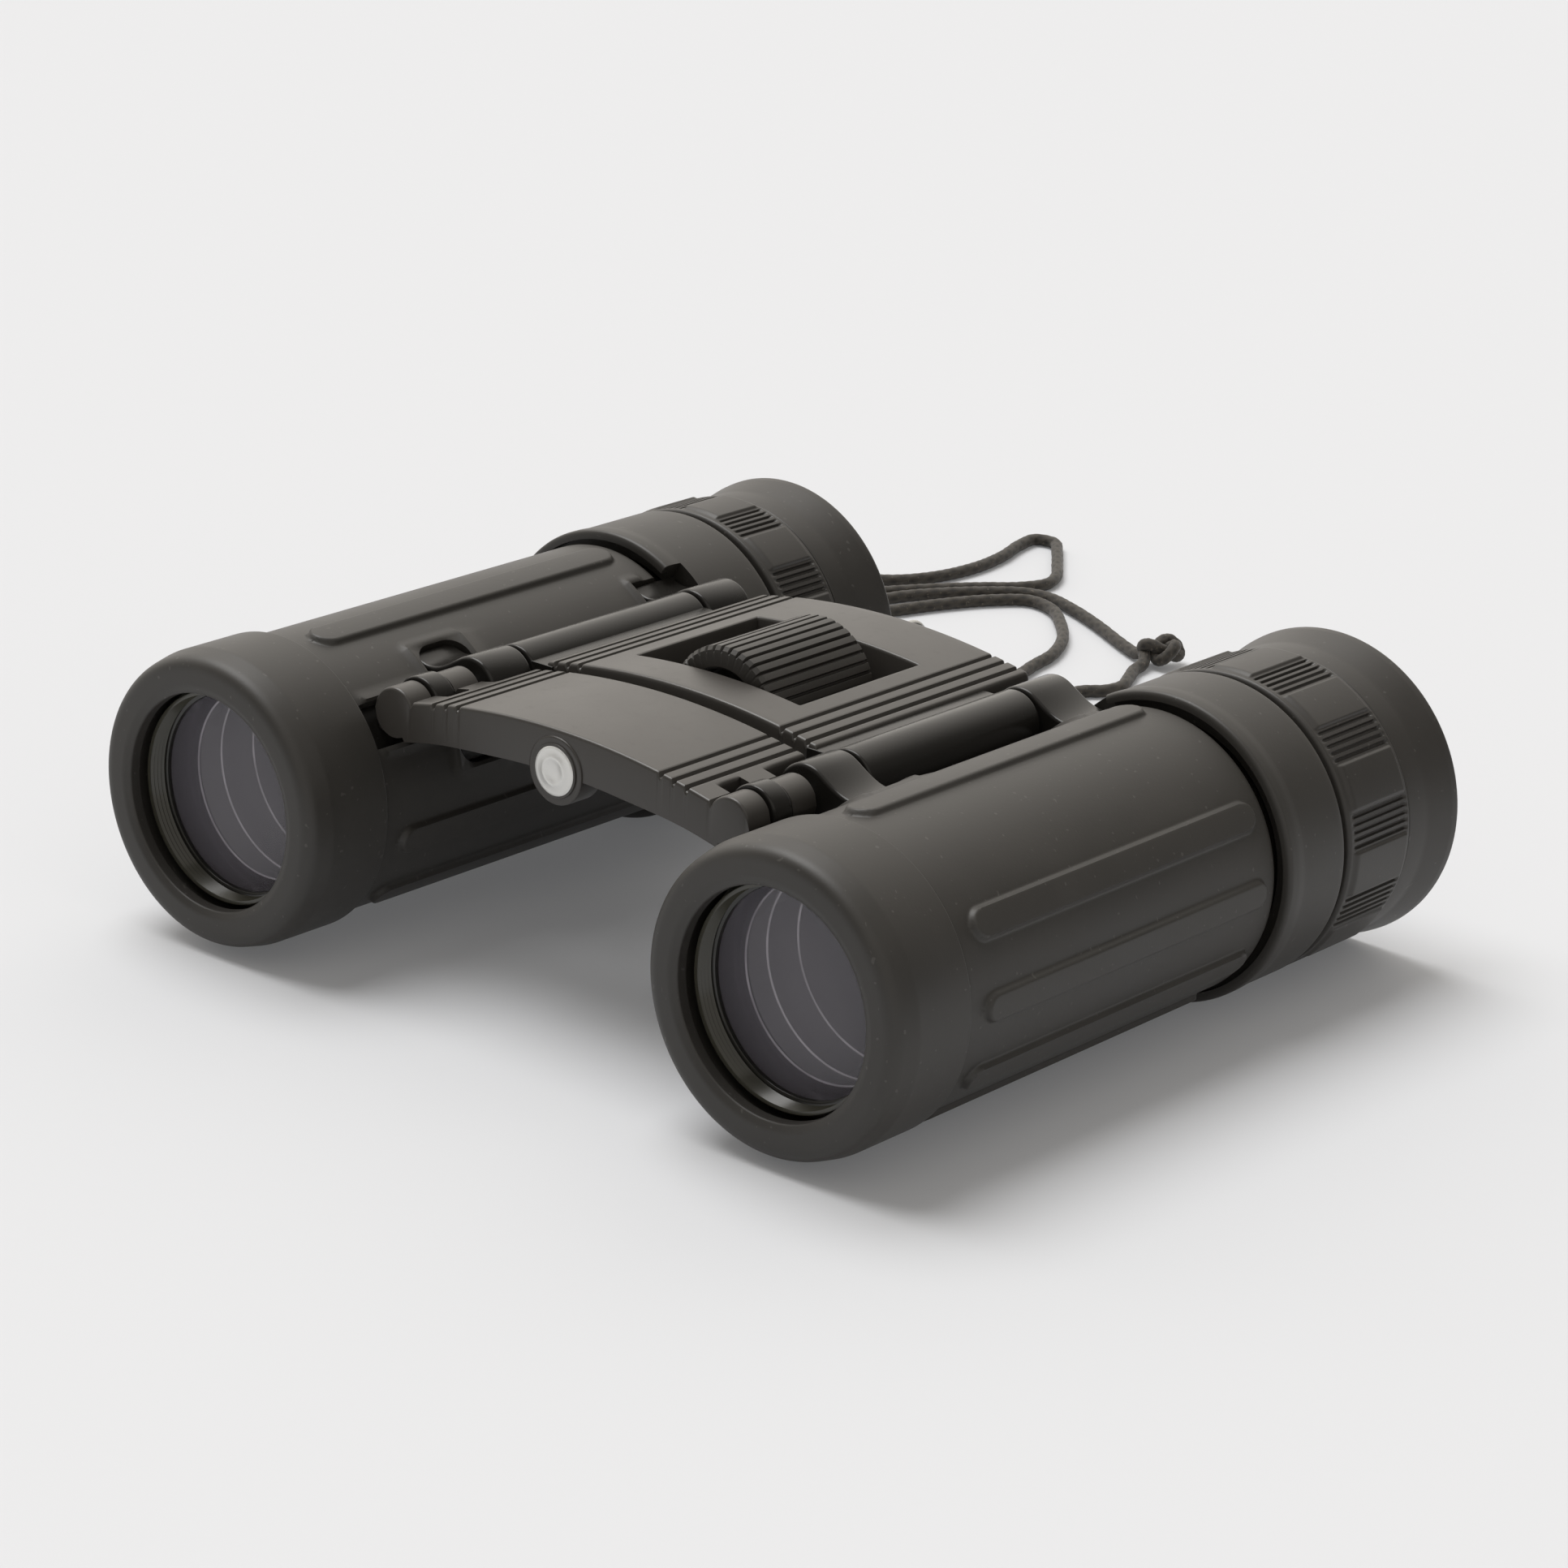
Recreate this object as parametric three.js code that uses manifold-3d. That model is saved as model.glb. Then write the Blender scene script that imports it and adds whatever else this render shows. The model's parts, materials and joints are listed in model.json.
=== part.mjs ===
/**
 * Compact roof-prism binoculars with a double-hinged bridge and a neck cord.
 *
 * Millimetres. x runs across the pair, y from the objective rims back to the eyecup rims, z up.
 * Left and right are the user's, who looks along -y: the left barrel is at +x.
 * The optics are built with y = 0 at the objective rims and z = 0 on the barrel axes. The last
 * group moves them so that the origin is at the middle of the footprint, on the ground.
 */
import * as THREE from 'three';
import { mergeVertices } from 'three/addons/utils/BufferGeometryUtils.js';
import Module from 'manifold-3d';

const wasm = await Module();
wasm.setup();

// ---- Clearances -------------------------------------------------------------------------
const GAP = 0.3;                  // between pieces that touch
const RUNNING = 0.4;              // round a piece that turns or slides
const KNUCKLE_CLEARANCE = 0.65;   // from the front knuckles to the bezels they pass over
const LUG_CLEARANCE = 0.55;       // from the lug heads to the grip
const FOLD_CLEARANCE = 0.9;       // from the plates to the lugs, which swing as the barrels fold

// ---- Barrel stations, along y -----------------------------------------------------------
const BEZEL_LENGTH = 10.5;
const GRIP_LENGTH = 49.3;
const COLLAR_LENGTH = 9.9;
const DIOPTER_STEP = 2.4;         // the collar is longer by this on the side that adjusts
const RING_LENGTH = 11.5;
const EYECUP_LENGTH = 8.1;

// ---- Barrel radii -----------------------------------------------------------------------
const GRIP_R = 14.8;
const GRIP_WALL = 1.3;
const BEZEL_STEP = 0.7;           // the bezel stands this far over the grip
const COLLAR_STEP = 1.2;
const RING_STEP = 0.9;
const EYECUP_STEP = 1.6;
const EYECUP_WAIST_STEP = 0.8;
const CASING_WALL = 1.0;
const CELL_WALL = 0.8;
const OCULAR_WALL = 1.0;
const MOUTH_LIP = 0.6;            // how far the bezel's lip covers the objective cell
const RIB_HEIGHT = 0.5;

// ---- Barrel spacing and hinges ----------------------------------------------------------
const BARREL_SPACING = 74.6;
const HINGE_ANGLE = 35.4;         // degrees above the horizontal, from barrel axis to hinge
const PIN_R = 1.3;
const LUG_R = 3.3;
const TUBE_R = 3.4;

// ---- Bridge -----------------------------------------------------------------------------
const BRIDGE_SETBACK = 0.9;       // from the bezel to the front bridge
const FRONT_KNUCKLE = 3.1;
const ARM_LENGTH = 2.7;
const BACK_KNUCKLE = 3.4;
const FRONT_LUG = 5.9;
const REAR_LUG = 6.4;
const REAR_LUG_REACH = 2.2;       // how far the rear lugs run in under the collars
const BRIDGE_REACH = 2.7;         // how far the rear bridge runs past the grip
const BRIDGE_GAP = 1.5;           // between the two bridges
const ARCH_DROP = 1.8;            // the plates' edges lie this far below their crowns
const FRONT_CROWN = 3.8;          // height of the crowns above the hinges
const REAR_CROWN = 4.2;
const FRONT_PLATE = 2.2;
const REAR_PLATE = 2.4;
const SKIRT = 2.2;
const SKIRT_DEPTH = 4.5;
const WALL = 3.0;
const COVER = 0.9;
const GROOVE_WIDTH = 0.7;
const GROOVE_DEPTH = 0.45;
const GROOVE_PITCH = 1.65;
const GROOVES = 3;
const BOSS_R = 3.5;
const BADGE_R = 2.9;

// ---- Focusing ---------------------------------------------------------------------------
const FOCUS_FAR = 0.8;            // travel of the front bridge towards the eye
const FOCUS_NEAR = 2.5;           // and away from it
const SPINDLE_R = 1.3;
const SPINDLE_DROP = 0.4;         // the spindle lies this far below the hinges
const WHEEL_R = 7.05;
const WHEEL_LENGTH = 15.9;
const WHEEL_TEETH = 40;
const TOOTH = 0.4;
const HUB_R = 4.55;
const HUB_DEPTH = 2.5;
const WINDOW_SIDE = 3.65;         // from the wheel to the window's sides
const WINDOW_SETBACK = 5.9;       // from the rear bridge's front edge to the window
const WINDOW_ENDS = 0.8;          // in front of the wheel
const WINDOW_PLAY = 2.5;          // longer than the wheel
const CHEEK = 1.5;

// ---- Fasteners and neck cord ------------------------------------------------------------
const SCREW_R = 1.6;
const SCREW_SHANK_R = 0.8;
const SCREW_LENGTH = 3.4;
const ARM_SCREW_R = 0.7;
const EYELET_R = 1.7;
const EYELET_WIRE = 0.6;
const CORD_R = 0.75;
const COIL_MID_R = 8.25;
const COIL_COLUMNS = 5;
const COIL_LAYERS = 2;

// ---- Facets -----------------------------------------------------------------------------
const COARSE = 28;
const MEDIUM = 20;
const FINE = 12;

// ---- What follows from the sizes above --------------------------------------------------
const GRIP_END = BEZEL_LENGTH + GRIP_LENGTH;
const COLLAR_END = GRIP_END + COLLAR_LENGTH;
const RING_END = COLLAR_END + RING_LENGTH;
const LENGTH = RING_END + EYECUP_LENGTH;
const BEZEL_R = GRIP_R + BEZEL_STEP;
const COLLAR_R = GRIP_R + COLLAR_STEP;
const RING_R = GRIP_R + RING_STEP;
const EYECUP_R = GRIP_R + EYECUP_STEP;
const GRIP_BORE = GRIP_R - GRIP_WALL;
const CASING_R = GRIP_BORE - GAP;
const CASING_BORE = CASING_R - CASING_WALL;
const CELL_R = CASING_BORE - GAP;
const LENS_R = CELL_R - CELL_WALL - GAP;
const MOUTH_R = CELL_R - MOUTH_LIP;
const OCULAR_R = CASING_BORE - 2 * RUNNING;

const ANGLE = THREE.MathUtils.degToRad(HINGE_ANGLE);
const HINGE_DISTANCE = GRIP_R + LUG_CLEARANCE + LUG_R;
const BARREL_X = BARREL_SPACING / 2;
const HINGE_X = BARREL_X - HINGE_DISTANCE * Math.cos(ANGLE);
const HINGE_Z = HINGE_DISTANCE * Math.sin(ANGLE);
const KNUCKLE_R = HINGE_DISTANCE - BEZEL_R - KNUCKLE_CLEARANCE;
const BORE_R = PIN_R + GAP;

const FRONT_START = BEZEL_LENGTH + BRIDGE_SETBACK;
const FRONT_KNUCKLE_END = FRONT_START + FRONT_KNUCKLE;
const ARM_START = FRONT_KNUCKLE_END + GAP;
const ARM_END = ARM_START + ARM_LENGTH;
const BACK_KNUCKLE_START = ARM_END + GAP;
const BACK_KNUCKLE_END = BACK_KNUCKLE_START + BACK_KNUCKLE;
const FRONT_LUG_START = BACK_KNUCKLE_END + FOCUS_FAR + GAP;
const FRONT_LUG_END = FRONT_LUG_START + FRONT_LUG;
const REAR_START = FRONT_LUG_END + 2 * RUNNING;
const FRONT_END = REAR_START - BRIDGE_GAP;
const REAR_END = GRIP_END + BRIDGE_REACH;
const REAR_LUG_END = GRIP_END + REAR_LUG_REACH;
const REAR_LUG_START = REAR_LUG_END - REAR_LUG;
const TUBE_END = REAR_LUG_START - RUNNING;

const PLATE_HALF = HINGE_X - LUG_R - FOLD_CLEARANCE;
const ARCH_R = (PLATE_HALF ** 2 + ARCH_DROP ** 2) / (2 * ARCH_DROP);
const FRONT_TOP = HINGE_Z + FRONT_CROWN;
const REAR_TOP = HINGE_Z + REAR_CROWN;
const SPINDLE_Z = HINGE_Z - SPINDLE_DROP;
const WALL_BOTTOM = SPINDLE_Z - SPINDLE_R;
const COVER_TOP = WALL_BOTTOM - GAP;
const COVER_BOTTOM = COVER_TOP - COVER;
const COVER_HALF = HINGE_X - TUBE_R - 3 * RUNNING;
const WINDOW_HALF = WHEEL_R + WINDOW_SIDE;
const WINDOW_START = REAR_START + WINDOW_SETBACK;
const WINDOW_END = WINDOW_START + WHEEL_LENGTH + WINDOW_PLAY;
const WHEEL_START = WINDOW_START + WINDOW_ENDS;
const EYELET_Y = REAR_END + GAP + EYELET_R + EYELET_WIRE + 0.5;
const EYELET_Z = HINGE_Z + 0.7;

// ---- Finishes ---------------------------------------------------------------------------
const finish = (color, roughness, metalness) =>
  new THREE.MeshStandardMaterial({ color, roughness, metalness });
const RUBBER = finish(0x23221f, 0.75, 0);
const ANODISED = finish(0x1d1c1a, 0.42, 0.6);
const BLACK_METAL = finish(0x141413, 0.5, 0.5);
const STEEL = finish(0x8d8d8a, 0.3, 1);
const BLACK_PLASTIC = finish(0x171716, 0.45, 0);
const SILVER = finish(0xd4d4d0, 0.35, 0.6);
const COATED_GLASS = finish(0x8b8794, 0.05, 0);
const CLEAR_GLASS = finish(0xc8d0cc, 0.05, 0);
const CORD = finish(0x2a2621, 0.9, 0);

// ---- Solids -----------------------------------------------------------------------------

/** A closed solid from a three.js geometry, with its faces turned outwards. */
function solid(geometry) {
  const bare = geometry.clone();
  bare.deleteAttribute('normal');
  bare.deleteAttribute('uv');
  const merged = mergeVertices(bare, 1e-4);
  const points = merged.getAttribute('position').array;
  const index = merged.getIndex().array;
  const faces = [];
  let volume = 0;
  const a = new THREE.Vector3();
  const b = new THREE.Vector3();
  const c = new THREE.Vector3();
  for (let i = 0; i < index.length; i += 3) {
    const [p, q, r] = [index[i], index[i + 1], index[i + 2]];
    if (p === q || q === r || r === p) continue;
    faces.push([p, q, r]);
    a.fromArray(points, 3 * p);
    b.fromArray(points, 3 * q);
    c.fromArray(points, 3 * r);
    volume += a.dot(b.cross(c));
  }
  const triVerts = Uint32Array.from((volume < 0 ? faces.map(([p, q, r]) => [p, r, q]) : faces).flat());
  return new wasm.Manifold(new wasm.Mesh({ numProp: 3, vertProperties: Float32Array.from(points), triVerts }));
}

/** A three.js geometry from a solid. */
function geometryOf(body) {
  const { vertProperties, triVerts } = body.getMesh();
  const geometry = new THREE.BufferGeometry();
  geometry.setAttribute('position', new THREE.BufferAttribute(vertProperties, 3));
  geometry.setIndex(new THREE.BufferAttribute(triVerts, 1));
  geometry.computeVertexNormals();
  return geometry;
}

const union = (...bodies) => bodies.reduce((sum, body) => sum.add(body));
const cut = (body, ...tools) => tools.reduce((rest, tool) => rest.subtract(tool), body);

/** A solid turned about the y axis from a closed outline of [radius, y] points. */
function turned(outline, facets, [x, z] = [0, 0]) {
  const points = [...outline, outline[0]].map(([r, y]) => new THREE.Vector2(r, y));
  return solid(new THREE.LatheGeometry(points, facets).translate(x, 0, z));
}

/** A ring turned about the y axis. */
const ring = (outer, inner, y0, y1, facets, centre) =>
  turned([[inner, y0], [outer, y0], [outer, y1], [inner, y1]], facets, centre);

/** A rod along y. */
const rod = (radius, y0, y1, facets, centre) =>
  turned([[0, y0], [radius, y0], [radius, y1], [0, y1]], facets, centre);

/** An outline in x and z carried along y. */
function alongY(shape, y0, y1, facets = FINE) {
  const options = { depth: y1 - y0, bevelEnabled: false, curveSegments: facets };
  return solid(new THREE.ExtrudeGeometry(shape, options).rotateX(Math.PI / 2).translate(0, y1, 0));
}

/** A box from its two corners. */
function block([x0, y0, z0], [x1, y1, z1]) {
  const box = new THREE.BoxGeometry(x1 - x0, y1 - y0, z1 - z0);
  return solid(box.translate((x0 + x1) / 2, (y0 + y1) / 2, (z0 + z1) / 2));
}

/** A sector of a ring about the y axis; angles in degrees from +x towards +z. */
function sector(outer, inner, from, to, y0, y1, centreX = 0) {
  const start = THREE.MathUtils.degToRad(from);
  const end = THREE.MathUtils.degToRad(to);
  const shape = new THREE.Shape();
  shape.absarc(centreX, 0, outer, start, end, false);
  shape.absarc(centreX, 0, inner, end, start, true);
  return alongY(shape, y0, y1, 5);
}

/** Angles on either barrel, from ones given from the outward side of the barrel at +x. */
const facing = (side, from, to) => (side > 0 ? [from, to] : [180 - to, 180 - from]);

/** Angles on a barrel that straddle the direction of its hinge. */
const aroundHinge = (side, half) =>
  facing(side, 180 - HINGE_ANGLE - half, 180 - HINGE_ANGLE + half);

/** A point given along and across the line from the hinge to the barrel axis. */
function fromHinge(side, along, across) {
  const x = HINGE_X + along * Math.cos(ANGLE) + across * Math.sin(ANGLE);
  const z = HINGE_Z - along * Math.sin(ANGLE) + across * Math.cos(ANGLE);
  return [side * x, z];
}

// ---- Barrels ----------------------------------------------------------------------------

/** A lug: a round head on the hinge, flared in an S on both sides onto the casing. */
function lug(side, y0, y1) {
  const half = THREE.MathUtils.degToRad(22.6);
  const head = THREE.MathUtils.degToRad(100);
  const onCasing = [HINGE_DISTANCE - CASING_R * Math.cos(half), CASING_R * Math.sin(half)];
  const onHead = [LUG_R * Math.cos(head), LUG_R * Math.sin(head)];
  const leave = [onHead[0] + 1.6 * Math.sin(head), onHead[1] - 1.6 * Math.cos(head)];
  const arrive = [onCasing[0] - 3.0 * Math.sin(half), onCasing[1] - 3.0 * Math.cos(half)];
  const at = ([along, across], flip) => fromHinge(side, along, flip * across);
  const shape = new THREE.Shape();
  shape.moveTo(...at(onHead, 1));
  shape.bezierCurveTo(...at(leave, 1), ...at(arrive, 1), ...at(onCasing, 1));
  shape.lineTo(...at([HINGE_DISTANCE - CASING_BORE - 0.2, 0], 1));
  shape.lineTo(...at(onCasing, -1));
  shape.bezierCurveTo(...at(arrive, -1), ...at(leave, -1), ...at(onHead, -1));
  shape.closePath();
  const centre = [side * HINGE_X, HINGE_Z];
  return union(alongY(shape, y0, y1, 6), rod(LUG_R, y0, y1, MEDIUM, centre));
}

/** The casing: a tube with its two lugs and the slot that the focus arm moves in. */
function casing(side) {
  const barrel = [side * BARREL_X, 0];
  const start = BEZEL_LENGTH - 3;
  const tube = ring(CASING_R, CASING_BORE, start, COLLAR_END - 2.7, COARSE, barrel);
  const lugs = union(lug(side, FRONT_LUG_START, FRONT_LUG_END), lug(side, REAR_LUG_START, REAR_LUG_END));
  const inside = rod(CASING_BORE, start, COLLAR_END, COARSE, barrel);
  const bore = rod(BORE_R, FRONT_LUG_START - 1, REAR_LUG_END + 1, FINE, [side * HINGE_X, HINGE_Z]);
  return cut(union(tube, cut(lugs, inside)), bore, armSlot(side));
}

/** The slot through casing and grip that the focus arm moves in. */
function armSlot(side) {
  const [from, to] = aroundHinge(side, 9.5);
  const start = ARM_START - 1.1 - FOCUS_NEAR - RUNNING;
  const end = ARM_END + FOCUS_FAR + RUNNING;
  return sector(GRIP_R + 1, CASING_BORE - 1, from, to, start, end, side * BARREL_X);
}

/** The rubber grip: a sleeve with long ribs, cut away round the lugs. */
function grip(side) {
  const x = side * BARREL_X;
  const front = BEZEL_LENGTH + GAP;
  const back = GRIP_END - 0.5;
  const sleeve = ring(GRIP_R, GRIP_BORE, front, back, COARSE, [x, 0]);
  const ribs = [[97, 7.5], [31, 6.2], [0.5, 5.9], [-30, 6.2], [-62, 6.2], [-97, 7.5], [194, 6.2], [225, 6.2]];
  const ribbed = ribs.reduce((body, [middle, half]) => {
    const [from, to] = facing(side, middle - half, middle + half);
    return body.add(sector(GRIP_R + RIB_HEIGHT, GRIP_R - 0.5, from, to, front + 2.4, back - 2.2, x));
  }, sleeve);
  const [from, to] = aroundHinge(side, 26);
  const round = (y0, y1) => sector(GRIP_R + 2, GRIP_BORE - 1, from, to, y0, y1, x);
  const frontCut = round(FRONT_LUG_START - RUNNING, FRONT_LUG_END + RUNNING);
  return cut(ribbed, frontCut, round(REAR_LUG_START - RUNNING, back + 1), armSlot(side));
}

/** The rubber bezel round the objective, with a rounded nose and a lip inside its mouth. */
function bezel(side) {
  const outline = [
    [MOUTH_R, 1.2], [MOUTH_R + 0.4, 0.4], [MOUTH_R + 1.6, 0], [BEZEL_R - 1.1, 0.5], [BEZEL_R - 0.3, 1.8],
    [BEZEL_R, 3.6], [BEZEL_R, BEZEL_LENGTH], [GRIP_BORE, BEZEL_LENGTH], [GRIP_BORE, BEZEL_LENGTH - 3.3],
    [CELL_R + RUNNING, BEZEL_LENGTH - 3.3], [CELL_R + RUNNING, 1.5], [MOUTH_R, 1.5],
  ];
  return turned(outline, COARSE, [side * BARREL_X, 0]);
}

/** The collar behind the grip, with the lip that overhangs it and a notch for the rear lug. */
function collar(side) {
  const end = side > 0 ? COLLAR_END : COLLAR_END + DIOPTER_STEP;
  const outline = [
    [COLLAR_R - 0.3, GRIP_END], [COLLAR_R, GRIP_END + 0.8], [COLLAR_R, end - 1], [COLLAR_R - 0.4, end],
    [OCULAR_R + RUNNING, end], [OCULAR_R + RUNNING, COLLAR_END - 2.4], [GRIP_BORE, COLLAR_END - 2.4],
    [GRIP_BORE, GRIP_END + 1.2], [GRIP_R + 0.3, GRIP_END + 1.2], [GRIP_R + 0.3, GRIP_END],
  ];
  const [from, to] = aroundHinge(side, 25);
  const notch = sector(COLLAR_R + 1, CASING_R - 1, from, to, GRIP_END - 1, REAR_LUG_END + RUNNING,
    side * BARREL_X);
  return cut(turned(outline, COARSE, [side * BARREL_X, 0]), notch);
}

/** The grip ring of an eyepiece: a band between two shoulders. */
function eyepieceRing(side) {
  const start = (side > 0 ? COLLAR_END : COLLAR_END + DIOPTER_STEP) + 2 * GAP;
  const end = RING_END;
  const outline = [
    [RING_R - 0.3, start], [RING_R - 0.1, start + 0.5], [RING_R + 0.4, start + 1.6], [RING_R + 0.4, end - 0.9],
    [RING_R, end - 0.4], [RING_R - 0.1, end], [OCULAR_R + GAP, end], [OCULAR_R + GAP, start],
  ];
  return turned(outline, COARSE, [side * BARREL_X, 0]);
}

/** The flared rubber eyecup. */
function eyecup(side) {
  const start = RING_END + GAP;
  const waist = GRIP_R + EYECUP_WAIST_STEP;
  const outline = [
    [waist, start], [waist, start + 2.4], [waist + 0.3, start + 4.8], [EYECUP_R - 0.1, LENGTH - 1.2],
    [EYECUP_R, LENGTH - 0.5], [EYECUP_R - 0.5, LENGTH], [EYECUP_R - 1.6, LENGTH], [OCULAR_R + 2.2, LENGTH - 3.6],
    [OCULAR_R - 0.6, LENGTH - 5], [OCULAR_R - 0.6, start + 2.6], [OCULAR_R + GAP, start + 2.3],
    [OCULAR_R + GAP, start],
  ];
  return turned(outline, COARSE, [side * BARREL_X, 0]);
}

/** The ring that carries the objective and slides in the casing. */
function objectiveCell(side) {
  const front = 4.3;
  const seat = 9.3;
  const outline = [
    [CELL_R, front], [CELL_R, ARM_END + 1.3], [CELL_R - 1.2, ARM_END + 1.3], [CELL_R - 1.2, seat + 1.4],
    [LENS_R - 0.8, seat + 1.4], [LENS_R - 0.8, seat], [CELL_R - CELL_WALL, seat], [CELL_R - CELL_WALL, front],
  ];
  return turned(outline, MEDIUM, [side * BARREL_X, 0]);
}

/** The threaded ring that holds the objective in its cell. */
const retainingRing = (side) => ring(LENS_R, LENS_R - 0.6, 4.6, 5.3, MEDIUM, [side * BARREL_X, 0]);

/** A double-convex lens from the y of its two vertices and its edge's inset. */
function lens(side, radius, y0, y1, bulge) {
  const outline = [
    [0, y0], [radius * 0.5, y0 + bulge * 0.25], [radius, y0 + bulge], [radius, y1 - bulge * 0.6],
    [radius * 0.5, y1 - bulge * 0.15], [0, y1],
  ];
  return turned(outline, MEDIUM, [side * BARREL_X, 0]);
}

/** The arm that ties the objective cell to the front bridge: an eye on the pin and a web. */
function focusArm(side) {
  const half = 1.7;
  const web = new THREE.Shape();
  web.moveTo(...fromHinge(side, 0.5, half));
  web.lineTo(...fromHinge(side, HINGE_DISTANCE - CELL_R - GAP, half));
  web.lineTo(...fromHinge(side, HINGE_DISTANCE - CELL_R - GAP, -half));
  web.lineTo(...fromHinge(side, 0.5, -half));
  web.closePath();
  const centre = [side * HINGE_X, HINGE_Z];
  const body = union(rod(LUG_R, ARM_START, ARM_END, MEDIUM, centre), alongY(web, ARM_START, ARM_END));
  return cut(body, rod(BORE_R, ARM_START - 1, ARM_END + 1, FINE, centre));
}

/** The small screw in the front of the focus arm. */
function armScrew(side) {
  const centre = fromHinge(side, LUG_R + 1.3, 0);
  return rod(ARM_SCREW_R, ARM_START - GAP - 0.8, ARM_START - GAP, FINE, centre);
}

/** The cage that holds the two prisms. */
function prismCage(side) {
  const start = ARM_END + FOCUS_FAR + 8;
  const end = GRIP_END - 3.5;
  const outline = [
    [CELL_R, start], [CELL_R, end], [CELL_R - 0.9, end], [CELL_R - 0.9, start + 0.9], [6.5, start + 0.9],
    [6.5, start],
  ];
  return turned(outline, MEDIUM, [side * BARREL_X, 0]);
}

/** One prism: an outline in y and z carried across the barrel, centred on its axis. */
function prism(side, outline, width) {
  const shape = new THREE.Shape(outline.map(([y, z]) => new THREE.Vector2(y, z)));
  const geometry = new THREE.ExtrudeGeometry(shape, { depth: width, bevelEnabled: false });
  const upright = geometry.translate(0, 0, -width / 2).rotateX(Math.PI / 2).rotateZ(Math.PI / 2);
  return solid(upright.translate(side * BARREL_X, 0, 0));
}

/** The first prism, which turns the light back on itself, and the second, which has the roof. */
function prisms(side) {
  const start = ARM_END + FOCUS_FAR + 8 + 0.9 + GAP;
  const height = 7.4;
  const first = [[start, -height], [start, height], [start + 4, height], [start + 10.2, -height]];
  const second = [
    [start + 5.1, height], [start + 11.1, -height + 0.6], [start + 20, -height + 0.6], [start + 20, 3],
    [start + 15.6, height],
  ];
  return [prism(side, first, 13), prism(side, second, 13)];
}

/** The tube that carries the eyepiece lenses. */
function ocularTube(side) {
  const start = GRIP_END + 1.5;
  const end = RING_END + 1.9;
  const bore = OCULAR_R - OCULAR_WALL;
  const outline = [
    [OCULAR_R, start], [OCULAR_R, end], [bore, end], [bore, start + 1.1], [7.2, start + 1.1], [7.2, start],
  ];
  return turned(outline, MEDIUM, [side * BARREL_X, 0]);
}

/** All the pieces of one barrel, as [name, solid, finish]. */
function barrel(side) {
  const hand = side > 0 ? 'left' : 'right';
  const [frontPrism, roofPrism] = prisms(side);
  const tubeStart = GRIP_END + 1.5;
  const ocularBore = OCULAR_R - OCULAR_WALL - GAP;
  return [
    [`${hand}_casing`, casing(side), BLACK_METAL],
    [`${hand}_grip`, grip(side), RUBBER],
    [`${hand}_bezel`, bezel(side), RUBBER],
    [`${hand}_collar`, collar(side), RUBBER],
    [side > 0 ? 'left_eyepiece_ring' : 'diopter_ring', eyepieceRing(side), RUBBER],
    [`${hand}_eyecup`, eyecup(side), RUBBER],
    [`${hand}_objective_cell`, objectiveCell(side), BLACK_METAL],
    [`${hand}_retaining_ring`, retainingRing(side), BLACK_METAL],
    [`${hand}_objective_lens`, lens(side, LENS_R, 5.0, 8.9, 0.9), COATED_GLASS],
    [`${hand}_focus_arm`, focusArm(side), BLACK_METAL],
    [`${hand}_arm_screw`, armScrew(side), STEEL],
    [`${hand}_prism_cage`, prismCage(side), BLACK_PLASTIC],
    [`${hand}_front_prism`, frontPrism, CLEAR_GLASS],
    [`${hand}_roof_prism`, roofPrism, CLEAR_GLASS],
    [`${hand}_ocular_tube`, ocularTube(side), BLACK_PLASTIC],
    [`${hand}_field_lens`, lens(side, ocularBore, tubeStart + 3, tubeStart + 8, 1.2), CLEAR_GLASS],
    [`${hand}_eye_lens`, lens(side, ocularBore, RING_END - 4.2, RING_END + 0.6, 0.9), COATED_GLASS],
  ];
}

// ---- Bridge -----------------------------------------------------------------------------

/** An arched slab: its top follows the arch from the crown, its bottom lies under it. */
function arch(half, top, thickness, y0, y1) {
  const heightAt = (x) => top - (ARCH_R - Math.sqrt(ARCH_R ** 2 - x ** 2));
  const shape = new THREE.Shape();
  const steps = 14;
  const stations = Array.from({ length: steps + 1 }, (_, i) => -half + (2 * half * i) / steps);
  shape.setFromPoints([
    ...stations.map((x) => new THREE.Vector2(x, heightAt(x))),
    ...stations.reverse().map((x) => new THREE.Vector2(x, heightAt(x) - thickness)),
  ]);
  return alongY(shape, y0, y1);
}

/** The fine grooves along both edges of an arched plate. */
function grooves(top, y0, y1) {
  const tools = [];
  for (const side of [-1, 1]) {
    for (let i = 0; i < GROOVES; i += 1) {
      const x = side * (PLATE_HALF - 1.2 - i * GROOVE_PITCH);
      const surface = top - (ARCH_R - Math.sqrt(ARCH_R ** 2 - x ** 2));
      const half = GROOVE_WIDTH / 2;
      tools.push(block([x - half, y0 - 1, surface - GROOVE_DEPTH], [x + half, y1 + 1, surface + 1]));
    }
  }
  return tools;
}

/** A knuckle on the hinge axis, with the tab that ties it to a plate. */
function knuckle(side, radius, y0, y1) {
  const inner = side * (PLATE_HALF - 1);
  const outer = side * HINGE_X;
  const [x0, x1] = side > 0 ? [inner, outer] : [outer, inner];
  const tab = block([x0, y0, WALL_BOTTOM], [x1, y1, HINGE_Z + radius * 0.62]);
  return union(tab, rod(radius, y0, y1, MEDIUM, [outer, HINGE_Z]));
}

/** A bore for a hinge pin. */
const pinBore = (side, y0, y1) => rod(BORE_R, y0 - 1, y1 + 1, FINE, [side * HINGE_X, HINGE_Z]);

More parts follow.
